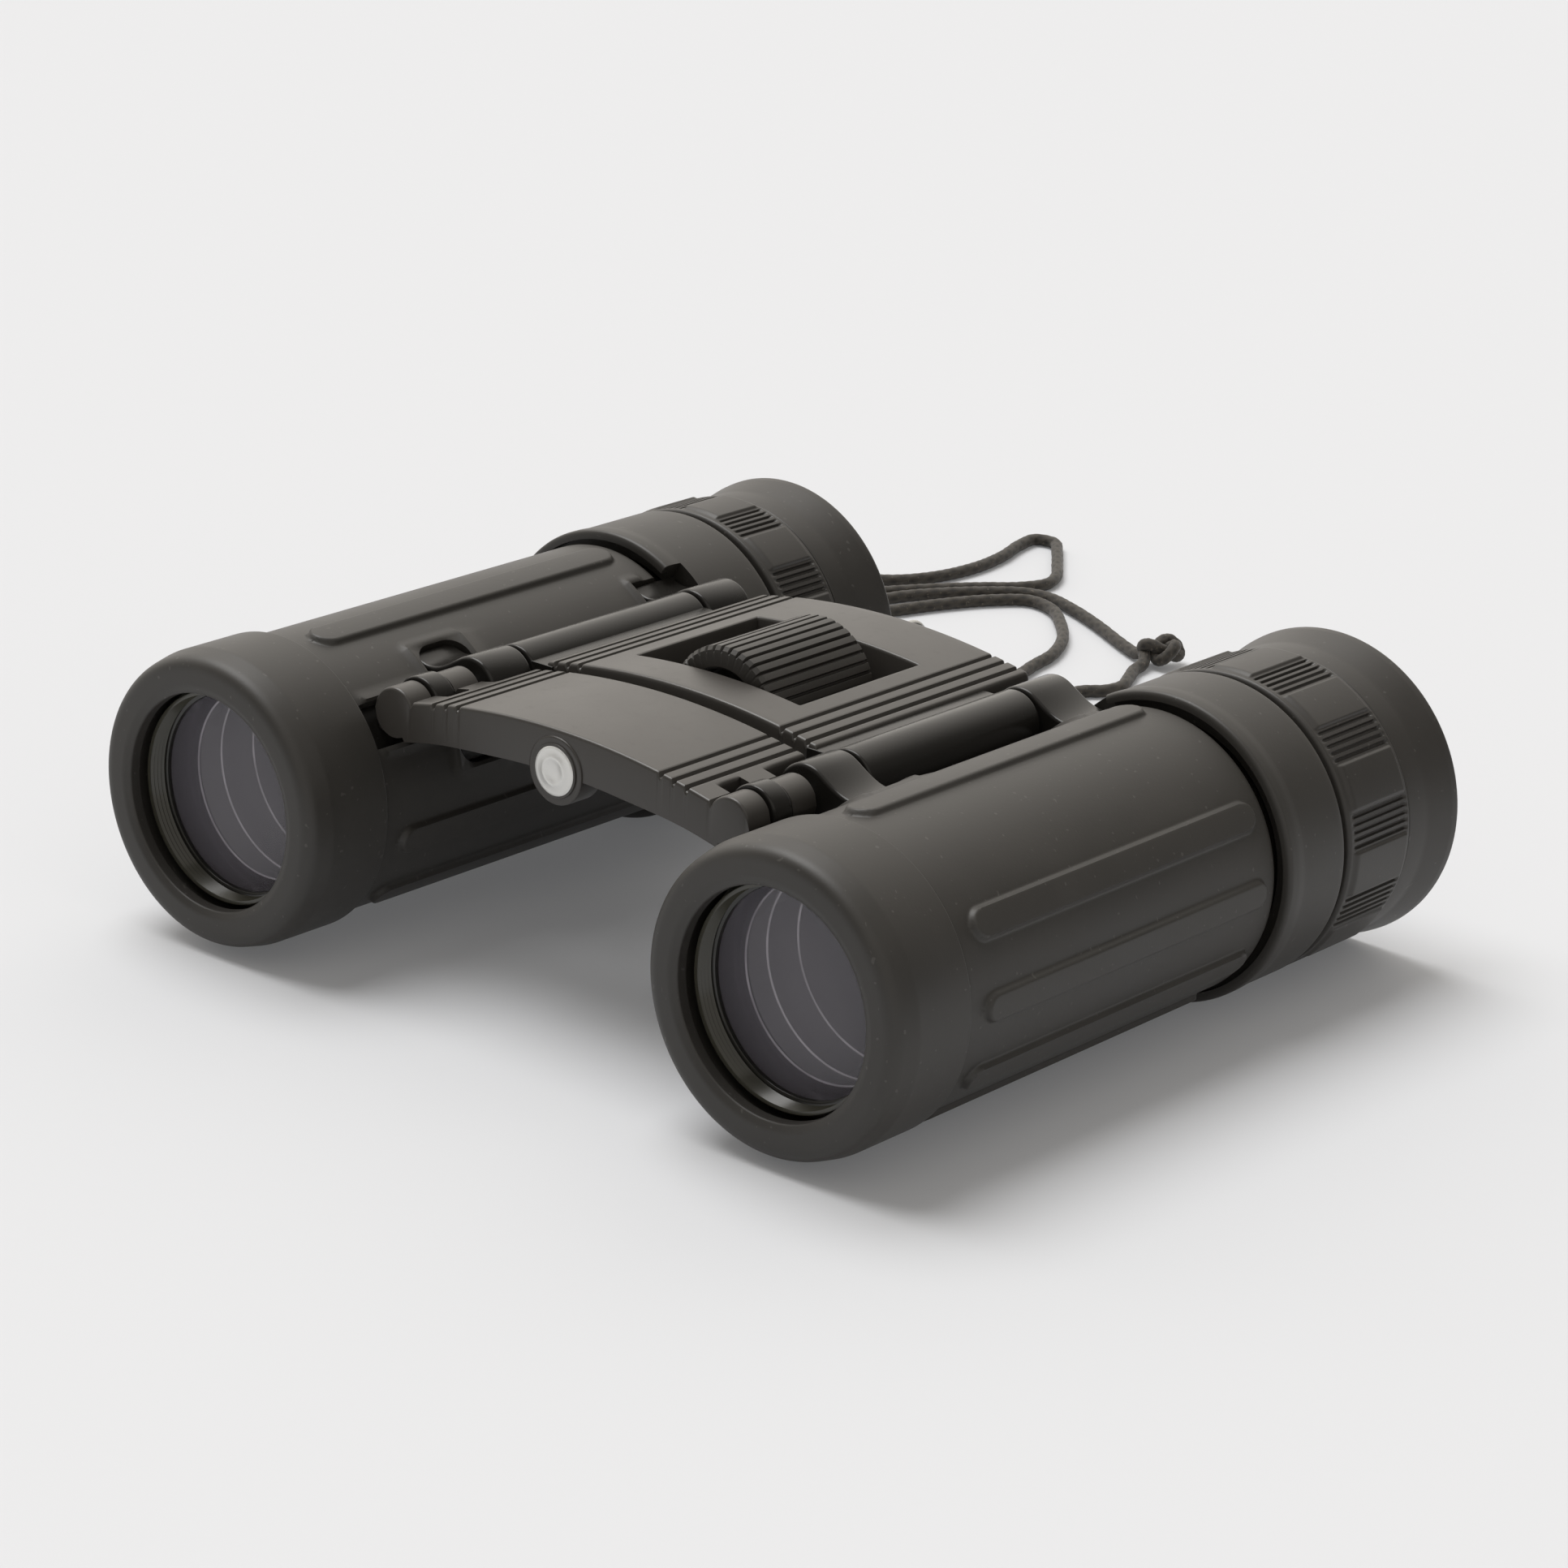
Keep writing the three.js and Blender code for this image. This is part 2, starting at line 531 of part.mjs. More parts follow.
/** The front bridge, which slides on the hinge pins and carries both objectives with it. */
function frontBridge() {
  const body = union(
    arch(PLATE_HALF, FRONT_TOP, FRONT_PLATE, FRONT_START, FRONT_END),
    arch(PLATE_HALF, FRONT_TOP, SKIRT_DEPTH, FRONT_START, FRONT_START + SKIRT),
    rod(BOSS_R, FRONT_START - GAP, FRONT_KNUCKLE_END - GAP, MEDIUM, [0, SPINDLE_Z]),
    ...[-1, 1].flatMap((side) => [
      knuckle(side, KNUCKLE_R, FRONT_START, FRONT_KNUCKLE_END),
      knuckle(side, KNUCKLE_R, BACK_KNUCKLE_START, BACK_KNUCKLE_END),
    ]),
  );
  const badgeSeat = rod(BADGE_R + GAP, FRONT_START - 2, FRONT_START + GAP, MEDIUM, [0, SPINDLE_Z]);
  const bores = [-1, 1].map((side) => pinBore(side, FRONT_START, BACK_KNUCKLE_END));
  return cut(body, badgeSeat, ...bores, ...grooves(FRONT_TOP, FRONT_START, FRONT_END));
}

/** The plain disc in the nose of the front bridge. */
const badge = () => rod(BADGE_R, FRONT_START - 0.6, FRONT_START, MEDIUM, [0, SPINDLE_Z]);

/** Where the screws of the underside cover stand. */
const screwPlaces = () => [REAR_START + 3.2, GRIP_END - 3.4].flatMap((y) =>
  [-1, 1].map((side) => [side * (PLATE_HALF - 3.6), y]));

/** The rear bridge: an arched plate on a frame round the wheel, between the two hinge tubes. */
function rearBridge() {
  const under = REAR_TOP - REAR_PLATE + 0.2;
  const cheeks = block([-WINDOW_HALF - CHEEK, WINDOW_START - 2, WALL_BOTTOM], [WINDOW_HALF + CHEEK, WINDOW_END + 2, under - 0.6]);
  const across = (y0, y1) => block([-PLATE_HALF + 0.5, y0, WALL_BOTTOM], [PLATE_HALF - 0.5, y1, under - 1.4]);
  const bosses = screwPlaces().map(([x, y]) => block([x - 1.9, y - 1.9, WALL_BOTTOM], [x + 1.9, y + 1.9, under - 1]));
  const body = union(
    arch(PLATE_HALF, REAR_TOP, REAR_PLATE, REAR_START, REAR_END),
    cheeks, across(REAR_START, REAR_START + WALL), across(REAR_END - WALL, REAR_END), ...bosses,
    ...[-1, 1].map((side) => knuckle(side, TUBE_R, REAR_START - 0.3, TUBE_END)),
  );
  const window = block([-WINDOW_HALF, WINDOW_START, WALL_BOTTOM - 1], [WINDOW_HALF, WINDOW_END, REAR_TOP + 1]);
  const shaft = rod(SPINDLE_R + RUNNING, REAR_START - 1, REAR_END - WALL, FINE, [0, SPINDLE_Z]);
  const holes = screwPlaces().map(([x, y]) => screwHole(x, y, WALL_BOTTOM - 1, WALL_BOTTOM + SCREW_LENGTH - COVER));
  const bores = [-1, 1].map((side) => pinBore(side, REAR_START, TUBE_END));
  return cut(body, window, shaft, ...holes, ...bores, ...grooves(REAR_TOP, REAR_START, REAR_END));
}

/** A hole for a cover screw's shank. */
function screwHole(x, y, z0, z1) {
  const hole = new THREE.CylinderGeometry(SCREW_SHANK_R + GAP, SCREW_SHANK_R + GAP, z1 - z0, FINE);
  return solid(hole.rotateX(Math.PI / 2).translate(x, y, (z0 + z1) / 2));
}

/** The countersunk hole for a screw's head in the cover. */
function countersink(x, y) {
  const past = 0.2;
  const spread = ((SCREW_R - SCREW_SHANK_R) * past) / COVER;
  const narrow = SCREW_SHANK_R + RUNNING - spread;
  const wide = SCREW_R + RUNNING + spread;
  const cone = new THREE.CylinderGeometry(narrow, wide, COVER + 2 * past, FINE);
  return solid(cone.rotateX(Math.PI / 2).translate(x, y, (COVER_BOTTOM + COVER_TOP) / 2));
}

/** The plate that closes the rear bridge from below, with an opening for the wheel. */
function underCover() {
  const plate = block([-COVER_HALF, REAR_START + GAP, COVER_BOTTOM], [COVER_HALF, GRIP_END - RUNNING, COVER_TOP]);
  const opening = block([-WINDOW_HALF, WINDOW_START, COVER_BOTTOM - 1], [WINDOW_HALF, WINDOW_END, COVER_TOP + 1]);
  return cut(plate, opening, ...screwPlaces().map(([x, y]) => countersink(x, y)));
}

/** A countersunk screw, head down and flush in the cover, turned about z. */
function coverScrew(x, y) {
  const head = COVER_BOTTOM + 0.05;
  const outline = [
    [0, head], [SCREW_R, head], [SCREW_SHANK_R, head + COVER], [SCREW_SHANK_R, head + SCREW_LENGTH - 0.4],
    [0, head + SCREW_LENGTH - 0.4],
  ];
  const points = outline.map(([r, z]) => new THREE.Vector2(r, z));
  return solid(new THREE.LatheGeometry(points, FINE).rotateX(Math.PI / 2).translate(x, y, 0));
}

/** The knurled focus wheel. */
function focusWheel() {
  const shape = new THREE.Shape();
  const points = [];
  for (let i = 0; i < WHEEL_TEETH; i += 1) {
    for (const [share, radius] of [[0, WHEEL_R - TOOTH], [0.3, WHEEL_R], [0.7, WHEEL_R]]) {
      const angle = (2 * Math.PI * (i + share)) / WHEEL_TEETH;
      points.push(new THREE.Vector2(radius * Math.cos(angle), SPINDLE_Z + radius * Math.sin(angle)));
    }
  }
  shape.setFromPoints(points);
  const end = WHEEL_START + WHEEL_LENGTH;
  const recess = rod(HUB_R, WHEEL_START - 1, WHEEL_START + HUB_DEPTH, MEDIUM, [0, SPINDLE_Z]);
  const bore = rod(SPINDLE_R + RUNNING, WHEEL_START - 1, end + 1, FINE, [0, SPINDLE_Z]);
  return cut(alongY(shape, WHEEL_START, end), recess, bore);
}

/** The threaded spindle, which pulls the front bridge as the wheel turns. */
const focusSpindle = () =>
  rod(SPINDLE_R, FRONT_KNUCKLE_END, REAR_END - WALL - FOCUS_FAR - RUNNING, FINE, [0, SPINDLE_Z]);

/** The pin that both barrels' lugs and the front bridge ride on, one each side. */
const hingePin = (side) =>
  rod(PIN_R, FRONT_START + 0.6, REAR_LUG_END - 0.5, FINE, [side * HINGE_X, HINGE_Z]);

/** The wire eyelet for the neck cord, on a stem behind the rear bridge. */
function cordEyelet() {
  const wire = new THREE.Path().absarc(EYELET_R, 0, EYELET_WIRE, 0, 2 * Math.PI, false).getPoints(3);
  const eye = new THREE.LatheGeometry(wire, FINE).rotateZ(Math.PI / 2).translate(0, EYELET_Y, EYELET_Z);
  const stem = rod(0.8, REAR_END + GAP, EYELET_Y - EYELET_R, FINE, [0, EYELET_Z]);
  return union(solid(eye), stem);
}

/** All the pieces of the bridge, as [name, solid, finish]. */
function bridge() {
  return [
    ['rear_bridge', rearBridge(), ANODISED],
    ['under_cover', underCover(), BLACK_PLASTIC],
    ['left_hinge_pin', hingePin(1), STEEL],
    ['right_hinge_pin', hingePin(-1), STEEL],
    ['front_bridge', frontBridge(), ANODISED],
    ['badge', badge(), SILVER],
    ['focus_wheel', focusWheel(), BLACK_METAL],
    ['focus_spindle', focusSpindle(), STEEL],
    ['cord_eyelet', cordEyelet(), STEEL],
    ...screwPlaces().map(([x, y], i) => [`cover_screw_${i + 1}`, coverScrew(x, y), STEEL]),
  ];
}

// ---- Neck cord, on the ground, with y from the eyelet ------------------------------------

/** One strand's way down from the eyelet, whose height is up, on the side 1 or -1. */
const fall = (side, up) => [
  [0.95 * side, 0, up], [2.5 * side, 0.15, up - 1.3], [2.6 * side, 0.45, up - 4.3],
  [1.5 * side, 0.85, 0.65 * up], [0.85 * side, 1.25, 0.4 * up], [0.85 * side, 2.25, 4.2],
  [0.85 * side, 5.85, 1.1],
];

/** Back along the ground to the knot. */
const TO_KNOT = [
  [0.9, 12.05, 0.8], [0.9, 20.05, 0.8], [0.6, 28.05, 0.8], [-2.5, 36.5, 0.8], [-8.5, 44.5, 0.8],
  [-15.5, 51, 0.8], [-21.5, 56.6, 0.8], [-25.6, 61.6, 0.8], [-26, 65.6, 0.8], [-24.1, 68.2, 0.8],
  [-23.7, 70.8, 0.8], [-25, 74, 0.8], [-26.5, 77.2, 0.8], [-27, 79.6, 0.9],
];

/** From the knot round a tight turn, out to a bight and back into the coil. */
const TO_COIL = [
  [-30.1, 82.3, 0.9], [-33.7, 84.25, 0.8], [-40.1, 87.95, 0.8], [-46, 90.85, 0.8], [-51.5, 92.65, 0.8],
  [-55, 91.95, 0.8], [-58.3, 88.95, 0.8], [-62.1, 84.05, 0.8], [-65, 78.55, 0.8], [-66.2, 73.05, 0.8],
  [-66.6, 68.65, 0.8], [-69.3, 66.15, 0.8], [-71.6, 69.25, 0.8], [-70.4, 74.45, 0.8],
  [-67.2, 79.65, 0.8], [-63.7, 85.05, 0.8], [-60, 89.85, 0.8], [-57, 93.2, 0.8], [-55.4, 97, 0.8],
  [-56.5, 100.6, 0.8], [-59.4, 104.6, 0.8], [-63.2, 109.5, 0.8], [-65.9, 112.4, 0.8],
  [-68.6, 111.8, 0.8], [-68.4, 108.2, 0.8], [-66.8, 102.4, 0.8], [-66.1, 96, 0.8], [-67, 89.4, 0.8],
  [-69.4, 84.4, 0.8], [-72.6, 81.7, 0.8], [-76, 81.2, 0.8], [-79.5, 82.35, 0.8],
];

/** From the coil forward again to the foot of the fall. */
const TO_EYELET = [
  [-79.5, 57.75, 1.4], [-74.5, 58.65, 0.95], [-69.2, 61.65, 0.8], [-64.6, 66.45, 0.8],
  [-61.8, 73.65, 0.8], [-59.4, 80.05, 0.8], [-56, 86.45, 0.8], [-52.6, 89.9, 0.8], [-48.5, 89.2, 0.8],
  [-44, 85.3, 0.8], [-39.8, 80.2, 0.8], [-37, 74.4, 0.8], [-35.8, 68.65, 0.8], [-33.6, 62.05, 0.8],
  [-28, 54.05, 0.8], [-20, 46.05, 0.8], [-11, 38.05, 0.8], [-4, 31.05, 0.8], [-0.9, 24.05, 0.8],
  [-0.9, 15.05, 0.8],
];

const COIL_CENTRE = [-85, 70.05];
const KNOT_CENTRE = [-26.9, 82.4, 2.4];

/** A plain round cord along a smooth curve through the points. */
function cordAlong(points, steps) {
  const curve = new THREE.CatmullRomCurve3(points.map((p) => new THREE.Vector3(...p)), false, 'centripetal');
  const section = new THREE.Shape(new THREE.Path().absarc(0, 0, CORD_R, 0, 2 * Math.PI).getPoints(4).slice(0, 8));
  return solid(new THREE.ExtrudeGeometry(section, { steps, extrudePath: curve, bevelEnabled: false }));
}

/** The outer shape of the coiled length. */
function cordCoil() {
  const half = COIL_COLUMNS * CORD_R;
  const height = COIL_LAYERS * 2 * CORD_R;
  const outline = [
    [COIL_MID_R - half, 0.02], [COIL_MID_R + half, 0.02], [COIL_MID_R + half, height], [COIL_MID_R - half, height],
  ];
  const points = [...outline, outline[0]].map(([r, z]) => new THREE.Vector2(r, z));
  const coil = new THREE.LatheGeometry(points, MEDIUM).rotateX(Math.PI / 2);
  return solid(coil.translate(...COIL_CENTRE, 0));
}

/** The knot that closes the cord's loop. */
function cordKnot() {
  const ball = new THREE.SphereGeometry(1, FINE, 8).scale(2.7, 1.9, 2.1);
  return solid(ball.rotateZ(0.5).translate(...KNOT_CENTRE));
}

/** All the pieces of the neck cord, as [name, solid, finish], from an eyelet of that height. */
function neckCord(up) {
  return [
    ['cord_to_knot', cordAlong([...fall(1, up), ...TO_KNOT], 22), CORD],
    ['cord_to_coil', cordAlong(TO_COIL, 34), CORD],
    ['cord_to_eyelet', cordAlong([...TO_EYELET, ...fall(-1, up).reverse()], 24), CORD],
    ['cord_coil', cordCoil(), CORD],
    ['cord_knot', cordKnot(), CORD],
  ];
}

// ---- Assembly ---------------------------------------------------------------------------

/** A group of named meshes from [name, solid, finish] rows. */
function groupOf(pieces) {
  const group = new THREE.Group();
  for (const [name, body, material] of pieces) {
    const mesh = new THREE.Mesh(geometryOf(body), material);
    mesh.name = name;
    group.add(mesh);
  }
  return group;
}

const axisHeight = Math.max(EYECUP_R, BEZEL_R);

const optics = groupOf([...barrel(1), ...barrel(-1), ...bridge()]);
optics.position.set(0, -LENGTH / 2, axisHeight);

const cord = groupOf(neckCord(EYELET_Z + axisHeight));
cord.position.set(0, EYELET_Y - LENGTH / 2, 0);

const binoculars = new THREE.Group();
binoculars.add(optics, cord);

export default binoculars;
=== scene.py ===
"""Looks of a compact pair of folding binoculars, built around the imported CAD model.

Every shape is worked out in millimetres in the optical frame: x across the pair, y back from
the objective rims, z up from the barrel axes. Datum places it in the row frame, in metres.
"""

from __future__ import annotations

import json
import logging
import math
from dataclasses import dataclass
from enum import Enum
from typing import Callable, Optional, Sequence, Union

import bpy
import numpy as np
from mathutils import Matrix, Vector

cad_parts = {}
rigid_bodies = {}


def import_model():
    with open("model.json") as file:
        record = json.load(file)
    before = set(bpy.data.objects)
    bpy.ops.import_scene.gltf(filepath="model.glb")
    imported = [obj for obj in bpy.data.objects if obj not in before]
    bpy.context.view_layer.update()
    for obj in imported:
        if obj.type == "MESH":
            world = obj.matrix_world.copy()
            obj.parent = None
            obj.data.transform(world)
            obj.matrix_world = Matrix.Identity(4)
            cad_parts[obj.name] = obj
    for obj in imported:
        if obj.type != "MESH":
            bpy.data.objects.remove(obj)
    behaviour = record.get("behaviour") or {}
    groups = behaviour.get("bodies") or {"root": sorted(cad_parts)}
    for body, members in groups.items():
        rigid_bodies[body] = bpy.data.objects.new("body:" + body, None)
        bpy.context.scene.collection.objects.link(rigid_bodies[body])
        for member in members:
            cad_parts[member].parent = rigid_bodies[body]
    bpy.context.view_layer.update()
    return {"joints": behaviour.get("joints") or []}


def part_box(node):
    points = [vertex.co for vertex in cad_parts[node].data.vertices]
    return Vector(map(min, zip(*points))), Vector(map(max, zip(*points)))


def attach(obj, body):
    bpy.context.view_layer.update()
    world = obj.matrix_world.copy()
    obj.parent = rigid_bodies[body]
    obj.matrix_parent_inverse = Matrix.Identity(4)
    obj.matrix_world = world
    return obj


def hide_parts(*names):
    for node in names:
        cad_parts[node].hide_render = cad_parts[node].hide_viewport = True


LOG = logging.getLogger("binoculars")
MM = 0.001


# ---- Surfaces ---------------------------------------------------------------------------


@dataclass
class Surface:
    """Points and faces of a mesh, in millimetres, with an optional value for each point."""

    points: np.ndarray
    faces: list[list[int]]
    # the optional value on each point paints light and shade into the braid's colour
    weave: Optional[np.ndarray] = None

    def volume(self) -> float:
        """Six times the signed volume, by fans from each face's first corner.

        Returns:
            A positive number where the faces point outwards.
        """
        total = 0.0
        for size in {len(face) for face in self.faces}:
            ring = self.points[np.array([f for f in self.faces if len(f) == size])]
            for k in range(1, size - 1):
                total += float((ring[:, 0] * np.cross(ring[:, k], ring[:, k + 1])).sum())
        return total

    def outward(self) -> "Surface":
        """The same surface with its faces turned outwards."""
        if self.volume() < 0:
            self.faces = [face[::-1] for face in self.faces]
        return self

    def __add__(self, other: "Surface") -> "Surface":
        """Both surfaces in one mesh, as separate shells."""
        moved = [[i + len(self.points) for i in face] for face in other.faces]
        return Surface(np.vstack([self.points, other.points]), self.faces + moved)


def smoothstep(low: float, high: float, value: np.ndarray) -> np.ndarray:
    """0 below low, 1 above high, and 3t^2 - 2t^3 between them."""
    t = np.clip((value - low) / (high - low), 0.0, 1.0)
    return t * t * (3.0 - 2.0 * t)


def rounding(distance: np.ndarray, radius: float) -> np.ndarray:
    """How far a surface drops near an edge: a quarter circle, r - sqrt(r^2 - (r - d)^2)."""
    inside = np.clip(radius - distance, 0.0, radius)
    return radius - np.sqrt(np.maximum(radius**2 - inside**2, 0.0))


def stations(*stops: Sequence[float]) -> np.ndarray:
    """Places along a line from (start, end, count) runs, sorted, with no repeats.

    Args:
        stops: Runs of evenly spaced places.

    Returns:
        The places in order.
    """
    places = np.concatenate([np.linspace(a, b, int(n)) for a, b, n in stops])
    return np.unique(np.round(places, 5))


def edge_run(start: float, inward: float, radius: float) -> tuple[float, float, int]:
    """A fine run of places over a rounded edge, from start going inward (1 or -1)."""
    ends = sorted((start, start + inward * radius))
    return ends[0], ends[1], 6


def filleted(corners: Sequence[tuple[float, float, float]], steps: int = 6) -> np.ndarray:
    """A closed outline with each corner rounded.

    Each corner is (across, along, radius). The arc touches both sides at r / tan(half angle)
    from the corner, or at 0.49 of the shorter side where that is less.

    Args:
        corners: Corners in order round the outline.
        steps: Points on each arc, less one.

    Returns:
        Points of the outline, not closed.
    """
    at = np.array([c[:2] for c in corners], float)
    before, after = np.roll(at, 1, 0) - at, np.roll(at, -1, 0) - at
    far, near = np.linalg.norm(before, axis=1), np.linalg.norm(after, axis=1)
    u, v = before / far[:, None], after / near[:, None]
    half = 0.5 * np.arccos(np.clip((u * v).sum(1), -1.0, 1.0))
    radius = np.array([c[2] for c in corners], float)
    reach = np.minimum(radius / np.tan(half), 0.49 * np.minimum(far, near))
    t = np.linspace(0.0, 1.0, steps + 1)[None, :, None]
    start, end = at + u * reach[:, None], at + v * reach[:, None]
    bent = (1 - t) ** 2 * start[:, None] + 2 * t * (1 - t) * at[:, None] + t**2 * end[:, None]
    weight = np.where(radius > 0, 1.0, 0.0)[:, None, None]
    points = weight * bent + (1 - weight) * at[:, None]
    flat = points.reshape(-1, 2)
    keep = np.linalg.norm(flat - np.roll(flat, 1, 0), axis=1) > 1e-6
    return flat[keep]


def grid_faces(rows: int, columns: int, wrap_rows: bool, wrap_columns: bool) -> list[list[int]]:
    """Quads of a grid whose point (i, j) has the number i * columns + j.

    Args:
        rows: Points along the first parameter.
        columns: Points along the second parameter.
        wrap_rows: Whether the last row joins the first.
        wrap_columns: Whether the last column joins the first.

    Returns:
        The quads.
    """
    i = np.arange(rows if wrap_rows else rows - 1)[:, None]
    j = np.arange(columns if wrap_columns else columns - 1)[None, :]
    i1, j1 = (i + 1) % rows, (j + 1) % columns
    quads = np.stack([i * columns + j, i1 * columns + j, i1 * columns + j1, i * columns + j1], -1)
    return quads.reshape(-1, 4).tolist()


def turned(outline: np.ndarray, centre: tuple[float, float], segments: int = 128,
           relief: Optional[Callable[[np.ndarray, np.ndarray], np.ndarray]] = None) -> Surface:
    """A closed outline of (radius, y) carried round a barrel axis.

    A point is x = cx + (r + relief) cos a, z = cz + (r + relief) sin a, at the outline's y.

    Args:
        outline: Points of the closed outline.
        centre: Where the axis crosses the xz plane.
        segments: Points round the axis.
        relief: What is added to the radius at an angle and an outline point's number.

    Returns:
        The surface, closed both ways round.
    """
    a = np.linspace(0.0, 2 * np.pi, segments, endpoint=False)[:, None]
    r = outline[None, :, 0] + np.zeros_like(a)
    if relief is not None:
        r = r + relief(a, np.arange(len(outline))[None, :])
    y = outline[None, :, 1] + np.zeros_like(a)
    points = np.stack([centre[0] + r * np.cos(a), y, centre[1] + r * np.sin(a)], -1)
    faces = grid_faces(segments, len(outline), True, True)
    return Surface(points.reshape(-1, 3), faces).outward()


def turned_solid(outline: np.ndarray, centre: tuple[float, float], segments: int = 96) -> Surface:
    """An open outline of (radius, y) carried round its axis and closed by a flat face at each end."""
    a = np.linspace(0.0, 2 * np.pi, segments, endpoint=False)[:, None]
    r, y = outline[None, :, 0] + 0 * a, outline[None, :, 1] + 0 * a
    points = np.stack([centre[0] + r * np.cos(a), y, centre[1] + r * np.sin(a)], -1)
    count = len(outline)
    faces = grid_faces(segments, count, True, False)
    first = [i * count for i in range(segments)]
    last = [i * count + count - 1 for i in range(segments)][::-1]
    return Surface(points.reshape(-1, 3), faces + [first, last]).outward()


def shell(outer: np.ndarray, inner: np.ndarray, kept: np.ndarray, wrap: bool) -> Surface:
    """A wall between two grids of points, with some of its cells left out.

    The kept cells are faced on both grids, and a wall joins the grids wherever a kept cell
    has no kept neighbour.

    Args:
        outer: Points (rows, columns, 3).
        inner: Points of the same shape.
        kept: Which cells are there.
        wrap: Whether the last row joins the first.

    Returns:
        The closed surface.
    """
    rows, columns = outer.shape[:2]
    number = np.arange(rows * columns).reshape(rows, columns)
    low = number if wrap else number[:-1]
    high = np.roll(number, -1, 0) if wrap else number[1:]
    a, b, c, d = low[:, :-1], high[:, :-1], high[:, 1:], low[:, 1:]
    deep = rows * columns
    quads = [np.stack([a, b, c, d], -1)[kept], np.stack([a, d, c, b], -1)[kept] + deep]
    padded = np.zeros((kept.shape[0] + 2, kept.shape[1] + 2), bool)
    padded[1:-1, 1:-1] = kept
    if wrap:
        padded[0, 1:-1], padded[-1, 1:-1] = kept[-1], kept[0]
    for missing, p, q in (
        (~padded[:-2, 1:-1], a, d), (~padded[2:, 1:-1], c, b),
        (~padded[1:-1, :-2], b, a), (~padded[1:-1, 2:], d, c),
    ):
        edge = kept & missing
        quads.append(np.stack([p[edge], q[edge], q[edge] + deep, p[edge] + deep], -1))
    faces = np.vstack(quads)
    used, faces = np.unique(faces, return_inverse=True)
    points = np.vstack([outer.reshape(-1, 3), inner.reshape(-1, 3)])[used]
    return Surface(points, faces.reshape(-1, 4).tolist()).outward()


def extruded(outline: np.ndarray, y0: float, y1: float, edge: float, steps: int = 4) -> Surface:
    """A closed outline in x and z carried along y, with its end edges rounded.

    Near each end the outline moves in along its own normals by e (1 - cos t) as it goes out by
    e sin t. The normals are a quarter turn from the chord between a point's neighbours.

    Args:
        outline: Points (n, 2), counter-clockwise.
        y0: Front end.
        y1: Back end.
        edge: Radius of the rounded end edges.
        steps: Rings on each rounded edge, less one.

    Returns:
        The closed surface.
    """
    chord = np.roll(outline, -1, 0) - np.roll(outline, 1, 0)
    normal = np.stack([chord[:, 1], -chord[:, 0]], -1)
    normal /= np.linalg.norm(normal, axis=1)[:, None]
    t = np.linspace(np.pi / 2, 0.0, steps + 1)
    inset = np.concatenate([edge * (1 - np.cos(t)), edge * (1 - np.cos(t[::-1]))])
    y = np.concatenate([y0 + edge * (1 - np.sin(t)), y1 - edge * (1 - np.sin(t[::-1]))])
    flat = outline[None] - inset[:, None, None] * normal[None]
    points = np.stack([flat[..., 0], y[:, None] + 0 * flat[..., 0], flat[..., 1]], -1)
    count = len(outline)
    faces = grid_faces(len(y), count, False, True)
    ends = [list(range(count))[::-1], list(range((len(y) - 1) * count, len(y) * count))]
    return Surface(points.reshape(-1, 3), faces + ends).outward()


# ---- Materials --------------------------------------------------------------------------

Value = Union["Wire", float, Sequence[float]]


class Wire:
    """A socket's output in a graph. Arithmetic on it adds Math nodes."""

    def __init__(self, graph: "Graph", socket: bpy.types.NodeSocket) -> None:
        """Keeps the graph and the socket."""
        self.graph = graph
        self.socket = socket

    def _math(self, operation: str, a: Value, b: Value) -> "Wire":
        """One Math node of the operation on two values."""
        return self.graph.node("ShaderNodeMath", {"operation": operation}, {0: a, 1: b})

    def __add__(self, other: Value) -> "Wire":
        """The sum."""
        return self._math("ADD", self, other)

    def __sub__(self, other: Value) -> "Wire":
        """The difference."""
        return self._math("SUBTRACT", self, other)

    def __rsub__(self, other: Value) -> "Wire":
        """The difference from a number."""
        return self._math("SUBTRACT", other, self)

    def __mul__(self, other: Value) -> "Wire":
        """The product."""
        return self._math("MULTIPLY", self, other)

    __radd__ = __add__
    __rmul__ = __mul__


